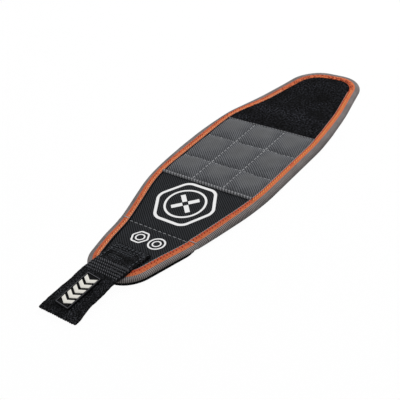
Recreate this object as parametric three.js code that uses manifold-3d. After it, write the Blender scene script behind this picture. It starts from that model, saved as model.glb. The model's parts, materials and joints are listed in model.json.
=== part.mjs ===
// Magnetic wristband: a padded band, laid flat, that wraps round the wrist with its magnets outwards.
// Millimetres. +X runs to the far round end of the band, +Z up out of the magnet pad.
// The origin is on the wrist side of the lining, under the middle of the magnet pad.
import * as THREE from 'three';
import { mergeVertices } from 'three/addons/utils/BufferGeometryUtils.js';
import Module from 'manifold-3d';

// Lengths along the band, from the pull tab to the far round end
const TAB_FREE_LENGTH = 41;
const TAB_ROOT_LENGTH = 29.7;
const FRONT_LENGTH = 54;
const BADGE_LENGTH = 57.5;
const FRONT_ROW_LENGTH = 27;
const MIDDLE_ROW_LENGTH = 32;
const REAR_ROW_LENGTH = 28.5;
const LOOP_INNER_LENGTH = 50;
const LOOP_TIP_LENGTH = 52.2;

// Widths and corners of the outline
const BODY_WIDTH = 99.5;
const FRONT_TIP_WIDTH = 41.3;
const LOOP_TIP_WIDTH = 54;
const SHOULDER_RADIUS = 150;
const FRONT_SHOULDER_OFFSET = 3;
const LOOP_SHOULDER_OFFSET = 4;
const FRONT_CORNER_RADIUS = 21.5;
const LOOP_CORNER_RADIUS = 26.5;
const BINDING_WIDTH = 3;
const TRIM_WIDTH = 5.4;
const QUILT_COLUMN_WIDTH = 28;
const TAB_WIDTH = 31.8;
const LABEL_WIDTH = 13.6;
const LABEL_LENGTH = 30.2;

// Thicknesses of the layers
const LINING_THICKNESS = 1;
const FOAM_THICKNESS = 3;
const LOOP_FOAM_THICKNESS = 1.4;
const COVER_THICKNESS = 1;
const HOOK_THICKNESS = 1.6;
const TRIM_SLOPE = 0.3;
const BINDING_DROP = 0.3;
const BINDING_ROUNDING = 1.2;
const TAB_THICKNESS = 3;
const LABEL_THICKNESS = 1.4;

// Quilted magnet pad
const QUILT_CROWN = 2.3;
const CROWN_FLATNESS = 1.25;
const CROWN_POWER = 4;
const HEM_WIDTH = 3;
const HEM_HEIGHT = 1.2;
const MAGNET_DIAMETER = 20;
const MAGNET_THICKNESS = 2.4;

// Places and clearances
const HOOK_OVERHANG = 0.8;
const TAB_DROOP = 4.7;
const TAB_BEND_RELIEF = 3.5;
const LABEL_INSET = 3.4;
const LABEL_OFFSET = 3.2;
const SIDE_GAP = 0.3;
const FOLD_GAP = 0.3;
const MAGNET_GAP = 0.3;

// Fineness of the round and crowned faces
const EDGE_STEP = 7;
const CORNER_STEPS = 8;
const CELL_STEPS = 8;
const HEM_STEPS = 4;
const MAGNET_SIDES = 32;

// Stations along X where one length of the band ends and the next begins
const PAD_FOLD_FRONT = -MIDDLE_ROW_LENGTH / 2;
const PAD_FRONT = PAD_FOLD_FRONT - FRONT_ROW_LENGTH;
const DASHED_SEAM = PAD_FRONT - BADGE_LENGTH;
const FRONT_TIP = DASHED_SEAM - FRONT_LENGTH;
const PAD_FOLD_REAR = MIDDLE_ROW_LENGTH / 2;
const PAD_REAR = PAD_FOLD_REAR + REAR_ROW_LENGTH;
const LOOP_FOLD = PAD_REAR + LOOP_INNER_LENGTH;
const LOOP_TIP = LOOP_FOLD + LOOP_TIP_LENGTH;

// Heights of the layers above the wrist side
const FOAM_TOP = LINING_THICKNESS + FOAM_THICKNESS;
const COVER_TOP = FOAM_TOP + COVER_THICKNESS;

// Insets from the outline to the edges of the sewn layers
const CORE_INSET = BINDING_WIDTH + SIDE_GAP;
const TRIM_INSET = BINDING_WIDTH + TRIM_WIDTH;
const COVER_INSET = TRIM_INSET + SIDE_GAP;

const fabrics = {
  nylon: { color: 0x232428, roughness: 0.85 },
  quilt: { color: 0x555659, roughness: 0.9 },
  pile: { color: 0x141418, roughness: 1 },
  hook: { color: 0x101012, roughness: 0.7 },
  foam: { color: 0x2c2c2e, roughness: 1 },
  lining: { color: 0x303134, roughness: 0.95 },
  binding: { color: 0x6e6869, roughness: 0.9 },
  trim: { color: 0xbe6d4b, roughness: 0.85 },
  webbing: { color: 0x191a1c, roughness: 0.85 },
  rubber: { color: 0x18181a, roughness: 0.6 },
  magnet: { color: 0xb4b6ba, roughness: 0.3, metalness: 1 },
};

const wasm = await Module();
wasm.setup();

// One tapering end of the outline. Side +1 is the far round end, -1 the pull tab's end.
function taperedEnd(side, shoulder, tip, tipWidth, cornerRadius) {
  const slope = (BODY_WIDTH - tipWidth) / 2 / Math.abs(tip - shoulder);
  const angle = Math.atan(slope);
  const line = (x, inset) => BODY_WIDTH / 2 - inset / Math.cos(angle) - slope * side * (x - shoulder);
  const cornerX = tip - side * cornerRadius;
  return {
    side,
    angle,
    line,
    cornerRadius,
    cornerX,
    cornerY: line(cornerX, cornerRadius),
    shoulderX: shoulder - side * SHOULDER_RADIUS * Math.tan(angle / 2),
  };
}

const frontEnd = taperedEnd(
  -1, PAD_FRONT - FRONT_SHOULDER_OFFSET, FRONT_TIP, FRONT_TIP_WIDTH, FRONT_CORNER_RADIUS);
const loopEnd = taperedEnd(1, PAD_REAR + LOOP_SHOULDER_OFFSET, LOOP_TIP, LOOP_TIP_WIDTH, LOOP_CORNER_RADIUS);

// Half the band's width at x, measured to a line that runs inset from the outline
function halfWidth(x, inset) {
  const end = x < 0 ? frontEnd : loopEnd;
  const beyond = end.side * (x - end.shoulderX);
  const radius = SHOULDER_RADIUS - inset;
  if (beyond <= 0) {
    return BODY_WIDTH / 2 - inset;
  }
  if (beyond < radius * Math.sin(end.angle)) {
    return BODY_WIDTH / 2 - SHOULDER_RADIUS + Math.sqrt(radius ** 2 - beyond ** 2);
  }
  return end.line(x, inset);
}

// A station on the outline gives the point there for any inset
const sideStation = (x, hand) => (inset) => new THREE.Vector2(x, hand * halfWidth(x, inset));

function cornerStation(end, hand, turn) {
  const bearing = THREE.MathUtils.lerp(Math.PI / 2 - end.angle, 0, turn);
  return (inset) => {
    const radius = end.cornerRadius - inset;
    const x = end.cornerX + end.side * radius * Math.cos(bearing);
    return new THREE.Vector2(x, hand * (end.cornerY + radius * Math.sin(bearing)));
  };
}

// Stations along one side, from x0 to x1. Hand +1 is the +Y side.
function sideRun(x0, x1, hand) {
  const steps = Math.max(1, Math.ceil(Math.abs(x1 - x0) / EDGE_STEP));
  const place = (i) => THREE.MathUtils.lerp(x0, x1, i / steps);
  return Array.from({ length: steps + 1 }, (_, i) => sideStation(place(i), hand));
}

// Stations round a tip, anticlockwise seen from above, from x on one side to x on the other
function tipRun(end, x) {
  const corner = (hand) => Array.from(
    { length: CORNER_STEPS + 1 }, (_, i) => cornerStation(end, hand, i / CORNER_STEPS));
  const first = -end.side;
  return [
    sideStation(x, first), ...corner(first), ...corner(-first).reverse(), sideStation(x, -first),
  ];
}

// A closed flat plate with the outline's shape at an inset, between two heights
function plate(stations, inset, bottom, top) {
  const outline = new THREE.Shape(stations.map((station) => station(inset)));
  const geometry = new THREE.ExtrudeGeometry(outline, { depth: top - bottom, bevelEnabled: false });
  return geometry.translate(0, 0, bottom);
}

// A closed solid through rings of points, each ring one closed loop of the same count
function loft(rings) {
  const count = rings[0].length;
  const last = (rings.length - 1) * count;
  const faces = [];
  for (let i = 0; i + 1 < rings.length; i += 1) {
    for (let j = 0; j < count; j += 1) {
      const a = i * count + j;
      const b = i * count + (j + 1) % count;
      faces.push(a, b, b + count, a, b + count, a + count);
    }
  }
  for (let j = 1; j + 1 < count; j += 1) {
    faces.push(0, j + 1, j, last, last + j, last + j + 1);
  }
  const geometry = new THREE.BufferGeometry().setFromPoints(rings.flat());
  geometry.setIndex(faces);
  return geometry;
}

// A strip sewn along the edge. The section is a list of [inset, height], anticlockwise seen along the run.
function edgeStrip(stations, section) {
  return loft(stations.map((station) => section.map(([inset, height]) => {
    const { x, y } = station(inset);
    return new THREE.Vector3(x, y, height);
  })));
}

function bindingSection(bottom) {
  const top = COVER_TOP - BINDING_DROP;
  return [
    [BINDING_WIDTH, bottom],
    [BINDING_WIDTH, top],
    [BINDING_ROUNDING, top],
    [0, top - BINDING_ROUNDING],
    [0, bottom + BINDING_ROUNDING],
    [BINDING_ROUNDING, bottom],
  ];
}

const trimSection = [
  [CORE_INSET, FOAM_TOP],
  [TRIM_INSET, FOAM_TOP],
  [TRIM_INSET, COVER_TOP],
  [CORE_INSET, COVER_TOP - TRIM_SLOPE],
];

// Boolean cut of round pockets in a plate
function solidOf(geometry) {
  const bare = geometry.clone();
  bare.deleteAttribute('normal');
  bare.deleteAttribute('uv');
  const merged = mergeVertices(bare);
  return new wasm.Manifold(new wasm.Mesh({
    numProp: 3,
    vertProperties: new Float32Array(merged.attributes.position.array),
    triVerts: new Uint32Array(merged.index.array),
  }));
}

function cutPockets(geometry, pockets) {
  const cut = pockets.reduce((solid, pocket) => solid.subtract(solidOf(pocket)), solidOf(geometry));
  const { vertProperties, triVerts } = cut.getMesh();
  const result = new THREE.BufferGeometry();
  result.setAttribute('position', new THREE.BufferAttribute(vertProperties, 3));
  result.setIndex(new THREE.BufferAttribute(triVerts, 1));
  return result;
}

// An upright disc standing on a height
function disc(diameter, thickness, x, y, bottom) {
  const geometry = new THREE.CylinderGeometry(diameter / 2, diameter / 2, thickness, MAGNET_SIDES);
  return geometry.rotateX(Math.PI / 2).translate(x, y, bottom + thickness / 2);
}

// Rise of a quilted cell from its seam, 0 at the seam to 1 over the flat magnet
const cellRise = (share) => 1 - (2 * share - 1) ** CROWN_POWER;

// The quilted cover of one row: three crowned cells with sewn channels, and a rolled hem where there is one
function quiltedCover(x0, x1, hemWidth) {
  const steps = (count, from, to) => Array.from(
    { length: count + 1 }, (_, i) => THREE.MathUtils.lerp(from, to, i / count));
  const cellStart = x0 + hemWidth;
  const hem = hemWidth > 0 ? steps(HEM_STEPS, x0, cellStart).slice(0, -1) : [];
  const stations = [...hem, ...steps(CELL_STEPS, cellStart, x1)];
  const hemRise = (x) => Math.sqrt(Math.max(0, 1 - (2 * (x - x0) / hemWidth - 1) ** 2));
  return loft(stations.map((x) => {
    const reach = halfWidth(x, COVER_INSET);
    const seams = [reach, QUILT_COLUMN_WIDTH / 2, -QUILT_COLUMN_WIDTH / 2, -reach];
    const along = (x - cellStart) / (x1 - cellStart);
    const top = [];
    for (let column = 0; column < 3; column += 1) {
      const first = column === 0 ? 0 : 1;
      for (let i = first; i <= CELL_STEPS; i += 1) {
        const across = i / CELL_STEPS;
        const crown = Math.min(1, CROWN_FLATNESS * cellRise(along) * cellRise(across));
        const rise = x < cellStart ? HEM_HEIGHT * hemRise(x) : QUILT_CROWN * crown;
        const y = THREE.MathUtils.lerp(seams[column], seams[column + 1], across);
        top.push(new THREE.Vector3(x, y, COVER_TOP + rise));
      }
    }
    const base = [-reach, reach].map((y) => new THREE.Vector3(x, y, FOAM_TOP));
    return [...base, ...top];
  }));
}

const wristband = new THREE.Group();

// The foam thins from the magnet pad to the loop end, and what lies on it comes down with it
function thinFoam(geometry) {
  const { position } = geometry.attributes;
  for (let i = 0; i < position.count; i += 1) {
    const along = THREE.MathUtils.clamp((position.getX(i) - PAD_REAR) / LOOP_INNER_LENGTH, 0, 1);
    const above = THREE.MathUtils.clamp((position.getZ(i) - LINING_THICKNESS) / FOAM_THICKNESS, 0, 1);
    const drop = (FOAM_THICKNESS - LOOP_FOAM_THICKNESS) * along * above;
    position.setZ(i, position.getZ(i) - drop);
  }
  return geometry;
}

function addPiece(parent, name, geometry, fabric) {
  const material = new THREE.MeshStandardMaterial({ metalness: 0, ...fabrics[fabric] });
  const mesh = new THREE.Mesh(thinFoam(geometry), material);
  mesh.name = name;
  parent.add(mesh);
}

// Lining, foam and the sewn edges that every length between the two tips has
function addMiddleLength(name, x0, x1) {
  const right = sideRun(x0, x1, -1);
  const left = sideRun(x1, x0, 1);
  const around = [...right, ...left];
  addPiece(wristband, `${name}_lining`, plate(around, CORE_INSET, 0, LINING_THICKNESS), 'lining');
  for (const [hand, run] of [['left', left], ['right', right]]) {
    addPiece(wristband, `${name}_binding_${hand}`, edgeStrip(run, bindingSection(0)), 'binding');
    addPiece(wristband, `${name}_trim_${hand}`, edgeStrip(run, trimSection), 'trim');
  }
  return around;
}

function addPlainLength(name, x0, x1, fabric) {
  const around = addMiddleLength(name, x0, x1);
  addPiece(wristband, `${name}_foam`, plate(around, CORE_INSET, LINING_THICKNESS, FOAM_TOP), 'foam');
  addPiece(wristband, `${name}_panel`, plate(around, COVER_INSET, FOAM_TOP, COVER_TOP), fabric);
}

function addMagnetRow(name, x0, x1, hemWidth) {
  const around = addMiddleLength(name, x0, x1);
  const x = (x0 + hemWidth + x1) / 2;
  const outer = (QUILT_COLUMN_WIDTH / 2 + halfWidth(x, COVER_INSET)) / 2;
  const depth = MAGNET_THICKNESS + MAGNET_GAP;
  const places = { left: outer, centre: 0, right: -outer };
  const pockets = Object.values(places).map((y) => disc(
    MAGNET_DIAMETER + 2 * MAGNET_GAP, 2 * depth, x, y, FOAM_TOP - depth));
  const foam = plate(around, CORE_INSET, LINING_THICKNESS, FOAM_TOP);
  addPiece(wristband, `${name}_foam`, cutPockets(foam, pockets), 'foam');
  addPiece(wristband, `${name}_panel`, quiltedCover(x0, x1, hemWidth), 'quilt');
  for (const [hand, y] of Object.entries(places)) {
    const magnet = disc(MAGNET_DIAMETER, MAGNET_THICKNESS, x, y, FOAM_TOP - depth);
    addPiece(wristband, `${name}_magnet_${hand}`, magnet, 'magnet');
  }
}

function addLoopTip(x0) {
  const around = tipRun(loopEnd, x0);
  addPiece(wristband, 'loop_tip_lining', plate(around, CORE_INSET, 0, LINING_THICKNESS), 'lining');
  addPiece(wristband, 'loop_tip_foam', plate(around, CORE_INSET, LINING_THICKNESS, FOAM_TOP), 'foam');
  addPiece(wristband, 'loop_tip_panel', plate(around, COVER_INSET, FOAM_TOP, COVER_TOP), 'pile');
  addPiece(wristband, 'loop_tip_binding', edgeStrip(around, bindingSection(0)), 'binding');
  addPiece(wristband, 'loop_tip_trim', edgeStrip(around, trimSection), 'trim');
}

function addFront(x1) {
  const around = tipRun(frontEnd, x1);
  const liningTop = HOOK_THICKNESS + LINING_THICKNESS;
  addPiece(wristband, 'hook_pad', plate(around, -HOOK_OVERHANG, 0, HOOK_THICKNESS), 'hook');
  addPiece(wristband, 'front_lining', plate(around, CORE_INSET, HOOK_THICKNESS, liningTop), 'lining');
  addPiece(wristband, 'front_foam', plate(around, CORE_INSET, liningTop, FOAM_TOP), 'foam');
  addPiece(wristband, 'front_panel', plate(around, COVER_INSET, FOAM_TOP, COVER_TOP), 'nylon');
  addPiece(wristband, 'front_binding', edgeStrip(around, bindingSection(HOOK_THICKNESS)), 'binding');
  addPiece(wristband, 'front_trim', edgeStrip(around, trimSection), 'trim');
}

// Strap of folded webbing: a side view in X and Z, extruded across the tab's width
function strap(profile) {
  const geometry = new THREE.ExtrudeGeometry(profile, { depth: TAB_WIDTH, bevelEnabled: false });
  return geometry.rotateX(Math.PI / 2).translate(0, TAB_WIDTH / 2, 0);
}

// The tab's sewn root lies on the front, and its free grip droops from the tip to the surface below
function addTab() {
  const root = new THREE.Shape();
  root.moveTo(0, 0);
  root.lineTo(TAB_ROOT_LENGTH, 0);
  root.lineTo(TAB_ROOT_LENGTH, TAB_THICKNESS);
  root.lineTo(0, TAB_THICKNESS);
  const rootEnd = FRONT_TIP - HOOK_OVERHANG;
  addPiece(wristband, 'tab_root', strap(root).translate(rootEnd, 0, COVER_TOP), 'webbing');

  const fold = TAB_THICKNESS / 2;
  const grip = new THREE.Shape();
  grip.moveTo(0, 0);
  grip.lineTo(fold - TAB_FREE_LENGTH, 0);
  grip.absarc(fold - TAB_FREE_LENGTH, -fold, fold, Math.PI / 2, 3 * Math.PI / 2, false);
  grip.lineTo(-TAB_BEND_RELIEF, -TAB_THICKNESS);

  const freeTab = new THREE.Group();
  freeTab.position.set(rootEnd - FOLD_GAP, 0, COVER_TOP + TAB_THICKNESS);
  freeTab.rotation.y = -Math.asin(TAB_DROOP / TAB_FREE_LENGTH);
  wristband.add(freeTab);
  addPiece(freeTab, 'tab_grip', strap(grip), 'webbing');

  const label = new THREE.BoxGeometry(LABEL_LENGTH, LABEL_WIDTH, LABEL_THICKNESS);
  label.translate(-LABEL_INSET - LABEL_LENGTH / 2, LABEL_OFFSET, SIDE_GAP + LABEL_THICKNESS / 2);
  addPiece(freeTab, 'tab_label', label, 'rubber');
}

const halfFold = FOLD_GAP / 2;
addTab();
addFront(DASHED_SEAM - halfFold);
addPlainLength('badge', DASHED_SEAM + halfFold, PAD_FRONT - halfFold, 'nylon');
addMagnetRow('row_front', PAD_FRONT + halfFold, PAD_FOLD_FRONT - halfFold, HEM_WIDTH);
addMagnetRow('row_middle', PAD_FOLD_FRONT + halfFold, PAD_FOLD_REAR - halfFold, 0);
addMagnetRow('row_rear', PAD_FOLD_REAR + halfFold, PAD_REAR - halfFold, 0);
addPlainLength('loop_inner', PAD_REAR + halfFold, LOOP_FOLD - halfFold, 'pile');
addLoopTip(LOOP_FOLD + halfFold);

export default wristband;
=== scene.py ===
"""The looks of a magnetic wristband: padded covers, sewn edges, hook pad, pull tab, print and thread.

Sizes are millimetres in the part's own frame. A mesh is scaled to metres when its piece is finished.
"""

import json
import logging
import math
from collections.abc import Callable, Iterable
from dataclasses import dataclass
from enum import Enum
from functools import cache

import bmesh
import bpy
import numpy as np
from mathutils import Matrix, Vector

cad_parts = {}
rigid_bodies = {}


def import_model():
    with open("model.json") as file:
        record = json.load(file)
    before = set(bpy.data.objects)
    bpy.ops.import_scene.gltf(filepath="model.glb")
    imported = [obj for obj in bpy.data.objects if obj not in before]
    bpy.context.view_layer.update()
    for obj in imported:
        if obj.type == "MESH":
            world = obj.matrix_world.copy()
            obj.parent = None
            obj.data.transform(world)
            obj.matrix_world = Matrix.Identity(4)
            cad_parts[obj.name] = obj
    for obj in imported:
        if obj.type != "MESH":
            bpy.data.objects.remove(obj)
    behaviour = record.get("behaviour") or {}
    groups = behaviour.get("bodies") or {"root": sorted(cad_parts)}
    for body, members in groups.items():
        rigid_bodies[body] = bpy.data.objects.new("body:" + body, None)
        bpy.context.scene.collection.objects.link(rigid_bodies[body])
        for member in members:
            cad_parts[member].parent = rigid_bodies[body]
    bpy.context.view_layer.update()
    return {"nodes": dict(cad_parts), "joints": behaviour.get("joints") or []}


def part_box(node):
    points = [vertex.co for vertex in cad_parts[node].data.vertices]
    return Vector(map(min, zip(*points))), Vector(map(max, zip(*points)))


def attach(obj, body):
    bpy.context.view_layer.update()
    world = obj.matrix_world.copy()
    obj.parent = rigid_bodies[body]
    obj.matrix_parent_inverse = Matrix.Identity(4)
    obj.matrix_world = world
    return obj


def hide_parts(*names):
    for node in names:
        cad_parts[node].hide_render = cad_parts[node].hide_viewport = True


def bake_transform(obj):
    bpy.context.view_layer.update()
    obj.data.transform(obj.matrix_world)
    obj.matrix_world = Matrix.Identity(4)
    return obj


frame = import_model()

Array = np.ndarray
Node = bpy.types.Node
Piece = bpy.types.Object
Placing = Callable[[Array, Array, Array], tuple[Array, Array]]
Shape = bmesh.types.BMesh
Socket = bpy.types.NodeSocket
Span = tuple[float, float]
RootRow = tuple[float, float, float, int]  # place before the root's end, first and last share across, count
Tree = bpy.types.NodeTree

MM = 0.001
CLOTH_MAP = "cloth"
WEAR = "wear"
SHARP_ANGLE = math.radians(50)

log = logging.getLogger("wristband")


class Slot(Enum):
    """Material slots of the record."""

    WEBBING = "webbing"
    RUBBER = "label_rubber"
    HOOK = "hook"
    LINING = "lining_mesh"
    NYLON = "black_nylon"
    QUILT = "grey_quilt"
    PILE = "loop_pile"
    BINDING = "binding_tape"
    TRIM = "trim_tape"
    MAGNET = "magnet"


class Cloth(Enum):
    """Cover cloths along the band."""

    NYLON = "nylon"
    QUILT = "quilt"
    PILE = "pile"


class Area(Enum):
    """Parts of the trim that have stitches of their own."""

    FAR = "far side, before the loop's tip"
    FAR_PAD = "far side, from the pad on"
    FAR_LOOP = "far side of the loop"
    NEAR_FRONT = "near side of the front and the badge"
    NEAR_PAD = "near side of the pad and the loop"
    TIP = "the loop's tip"


def smoothstep(share: Array) -> Array:
    """Eases shares from 0 to 1, flat at both ends."""
    eased = np.clip(share, 0.0, 1.0)
    return eased * eased * (3.0 - 2.0 * eased)


def lerp(first: Array, last: Array, share: Array) -> Array:
    """Goes from first to last by a share from 0 to 1."""
    return first + (last - first) * share


def crown(share: Array) -> Array:
    """A flat-topped rise over a share: 0 at its two ends, 1 in its middle."""
    return 1 - (2 * share - 1) ** 4


def hump(offset: Array, width: float) -> Array:
    """A smooth hump, 1 where the offset is 0."""
    return np.exp(-(offset / width) ** 2)


def distances(x: Array, y: Array) -> Array:
    """Distance along a line of points, from its first point to each of them."""
    return np.concatenate([[0.0], np.cumsum(np.hypot(np.diff(x), np.diff(y)))])


def pick(rows: Array, share: Array) -> Array:
    """Entries of a list, at even shares from its first to its last."""
    return rows[np.rint(share * (len(rows) - 1)).astype(int)]


def placed(x: Array, y: Array, z: Array, along: Array, across: Array) -> tuple[Array, Array]:
    """Rows of points, and rows of their places on the cloth."""
    return np.stack([x, y, z], axis=1), np.stack([along, across], axis=1)


@dataclass(frozen=True)
class Drift:
    """A slow change along the band, between the stations where it starts and is complete."""

    start: float
    end: float
    amount: float

    def at(self, x: Array) -> Array:
        """Amount at stations."""
        return self.amount * smoothstep((x - self.start) / (self.end - self.start))


def drifted(drifts: tuple[Drift, ...], x: Array) -> Array:
    """Amount of several changes together, at stations."""
    return sum(drift.at(x) for drift in drifts)


@dataclass(frozen=True)
class Lie:
    """How the soft band lies: a slight sway to the sides, and padding that is thinner beyond the magnet pad."""

    sway: tuple[Drift, ...] = (Drift(-150, -101, -1.3), Drift(-101, -40, 1.9), Drift(46, 96, -2.4))
    thinning: tuple[Drift, ...] = (Drift(-126, -102, 0.9), Drift(-99, -58, -0.9), Drift(44.5, 94.5, 1.6))
    skew: Drift = Drift(108, 146, -0.036)  # share of the place across
    firm: float = 1.0  # nothing below this height thins
    padding: float = 3.0  # thickness above that height

    def lay(self, points: Array) -> Array:
        """Moves points of the straight, even band to where they lie.

        Args:
            points: Rows of x, y and z.

        Returns:
            The moved rows.
        """
        x, y, z = points.T
        pressed = drifted(self.thinning, x) * np.clip((z - self.firm) / self.padding, 0, 1)
        return np.stack([x + self.skew.at(x) * y, y + drifted(self.sway, x), z - pressed], axis=1)


LIE = Lie()


class Unevenness:
    """Smooth, repeatable bumps over a surface, read from one seeded table.

    Fields of other classes give bumps as their size and their height.
    """

    SIDE = 64

    def __init__(self, seed: int) -> None:
        """Fills the table from a seed."""
        self.table = np.random.default_rng(seed).uniform(-1.0, 1.0, (self.SIDE, self.SIDE))

    def at(self, x: Array, y: Array, size: float, height: float = 1.0) -> Array:
        """Height of the bumps at points of the surface.

        Args:
            x: Stations along the band.
            y: Places across the band.
            size: Spacing of the bumps.
            height: Height of the highest possible bump.

        Returns:
            Heights, up or down.
        """
        column, row = np.floor(x / size).astype(int), np.floor(y / size).astype(int)
        across, along = smoothstep(x / size - column), smoothstep(y / size - row)
        near, far = (
            lerp(*(self.table[(column + i) % self.SIDE, (row + j) % self.SIDE] for j in (0, 1)), along)
            for i in (0, 1))
        return height * lerp(near, far, across)


@dataclass(frozen=True)
class TaperedEnd:
    """One end of the outline, where the sides draw in to a tip with round corners."""

    side: int  # +1 for the far round end, -1 for the pull tab's end
    shoulder: float
    tip: float
    tip_width: float
    corner: float

    ARC_POINTS = 24

    def points(self, width: float, rounding: float) -> Array:
        """Points of one side, from the middle of the tip to the straight body.

        Args:
            width: Width of the straight body.
            rounding: Radius of the shoulder.

        Returns:
            Rows of x, y and the outward normal's x and y.
        """
        angle = math.atan((width - self.tip_width) / 2 / abs(self.tip - self.shoulder))
        corner_x = self.tip - self.side * self.corner
        drawn_in = math.tan(angle) * abs(corner_x - self.shoulder)
        corner_y = width / 2 - self.corner / math.cos(angle) - drawn_in
        shoulder_x = self.shoulder - self.side * rounding * math.tan(angle / 2)
        turn = math.pi / 2 - angle
        arcs = (
            (corner_x, corner_y, self.corner, 0.0, turn),
            (shoulder_x, width / 2 - rounding, rounding, turn, math.pi / 2),
        )
        rows = [np.array([[self.tip, 0.0, self.side, 0.0]])]
        for x, y, radius, first, last in arcs:
            bearing = np.linspace(first, last, self.ARC_POINTS)
            normal = np.stack([self.side * np.cos(bearing), np.sin(bearing)], axis=1)
            rows.append(np.hstack([np.array([x, y]) + radius * normal, normal]))
        return np.vstack(rows)


@dataclass
class Outline:
    """The band's outline from above, the same on both sides of its length."""

    front: TaperedEnd
    loop: TaperedEnd
    width: float
    rounding: float
    seam: float
    step_out: float = 0.6  # near side of the front length
    step_length: float = 1.2
    ease_out: float = 0.9  # far side of the front length
    ease_length: float = 24.0
    swell: tuple[Drift, ...] = (  # how far the far side's edge stands out
        Drift(-84, -52, -0.6), Drift(-46, -2, 1.5), Drift(12, 48, -1.9), Drift(60, 92, 1.0),
        Drift(112, 132, 0.7))
    swell_start: float = 1.0  # inset up to which the swell is whole
    swell_depth: float = 5.0  # inset at which it ends
    creep: Drift = Drift(58, 84, 0.9)  # how far the trim on the loop's far side lies further in
    creep_start: float = 2.0
    creep_width: float = 1.5

    def __post_init__(self) -> None:
        """Works out the points of the +Y side and their distance along the edge."""
        ends = [end.points(self.width, self.rounding) for end in (self.front, self.loop)]
        self.x, self.y, self.normal_x, self.normal_y = np.vstack([ends[0], ends[1][::-1]]).T
        self.run = distances(self.x, self.y)
        self.half_run = self.run[-1]

    def inset(self, x: Array, y: Array) -> Array:
        """Distance from points inside the outline to its nearest edge, negative outside it."""
        over_x = np.subtract.outer(x, self.x) * self.normal_x
        return -(over_x + np.subtract.outer(np.abs(y), self.y) * self.normal_y).max(axis=1)

    def half_width(self, x: Array, inset: float) -> Array:
        """Half the width at stations, measured to a line that runs inset from the edge."""
        line = (self.x - self.normal_x * inset)[1:-1], (self.y - self.normal_y * inset)[1:-1]
        return np.interp(x, *line)

    def run_at(self, x: float) -> float:
        """Distance along the +Y edge, from the front tip, to a station."""
        return float(np.interp(x, self.x, self.run))

    def stepped(self, x: Array) -> Array:
        """How far the front length's step at the seam is complete, at stations."""
        return smoothstep((self.seam + self.step_length / 2 - x) / self.step_length)

    def edge(self, run: Array, inset: Array) -> tuple[Array, Array, Array]:
        """Points beside the edge, going round the whole outline from the front tip.

        Args:
            run: Distances along the edge. The -Y side follows the +Y side, and negative runs are on it too.
            inset: Distances inwards from the edge.

        Returns:
            Stations, places across, and the stations on the edge itself.
        """
        round_run = np.mod(run, 2 * self.half_run)
        far = round_run <= self.half_run
        hand = np.where(far, 1.0, -1.0)
        side_run = np.where(far, round_run, 2 * self.half_run - round_run)
        rows = (self.x, self.y, self.normal_x, self.normal_y)
        x, y, normal_x, normal_y = (np.interp(side_run, self.run, row) for row in rows)
        step = self.step_out * self.stepped(x)
        ease = self.ease_out * smoothstep((self.seam - x) / self.ease_length)
        left = smoothstep((self.swell_depth - inset) / (self.swell_depth - self.swell_start))
        creep = self.creep.at(x) * smoothstep((inset - self.creep_start) / self.creep_width)
        near = smoothstep(0.5 - hand * y / self.front.tip_width)
        depth = inset - lerp(ease + drifted(self.swell, x) * left - creep, step, near)
        return x - normal_x * depth, hand * (y - normal_y * depth), x

    def rows(self, start: float, end: float, step: float, knots: Iterable[float], inset: float) -> Array:
        """Stations for the rows of a panel, closer together round a tip's corners.

        Args:
            start: First station.
            end: Last station. Stations past a tip stop at the tip's own inset line.
            step: Largest spacing.
            knots: Stations that get a row of their own.
            inset: Inset of the panel's edge.

        Returns:
            Rising stations.
        """
        low, high = self.front.tip + inset, self.loop.tip - inset
        stops = {max(start, low), min(end, high), *(k for k in knots if start < k < end)}
        if start < low:
            stops.add(low + self.front.corner)
        if end > high:
            stops.add(high - self.loop.corner)
        marks = sorted(stops)
        stations = [np.array(marks[:1])]
        for first, last in zip(marks, marks[1:]):
            share = np.linspace(0, 1, max(2, math.ceil((last - first) / step) + 1))[1:]
            if start < low and first == marks[0]:
                share = share ** 2
            elif end > high and last == marks[-1]:
                share = 1 - (1 - share) ** 2
            stations.append(lerp(first, last, share))
        return np.concatenate(stations)


@dataclass(frozen=True)
class Segment:
    """A length of the band between two cuts, with one fold in it."""

    name: str
    start: float
    end: float
    fold: float
    before: str  # body on the front's side of the fold
    after: str  # body on its far side
    reach: float

    def carry(self, piece: Piece) -> None:
        """Bakes a piece's placement into its mesh."""
        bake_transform(piece)


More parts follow.
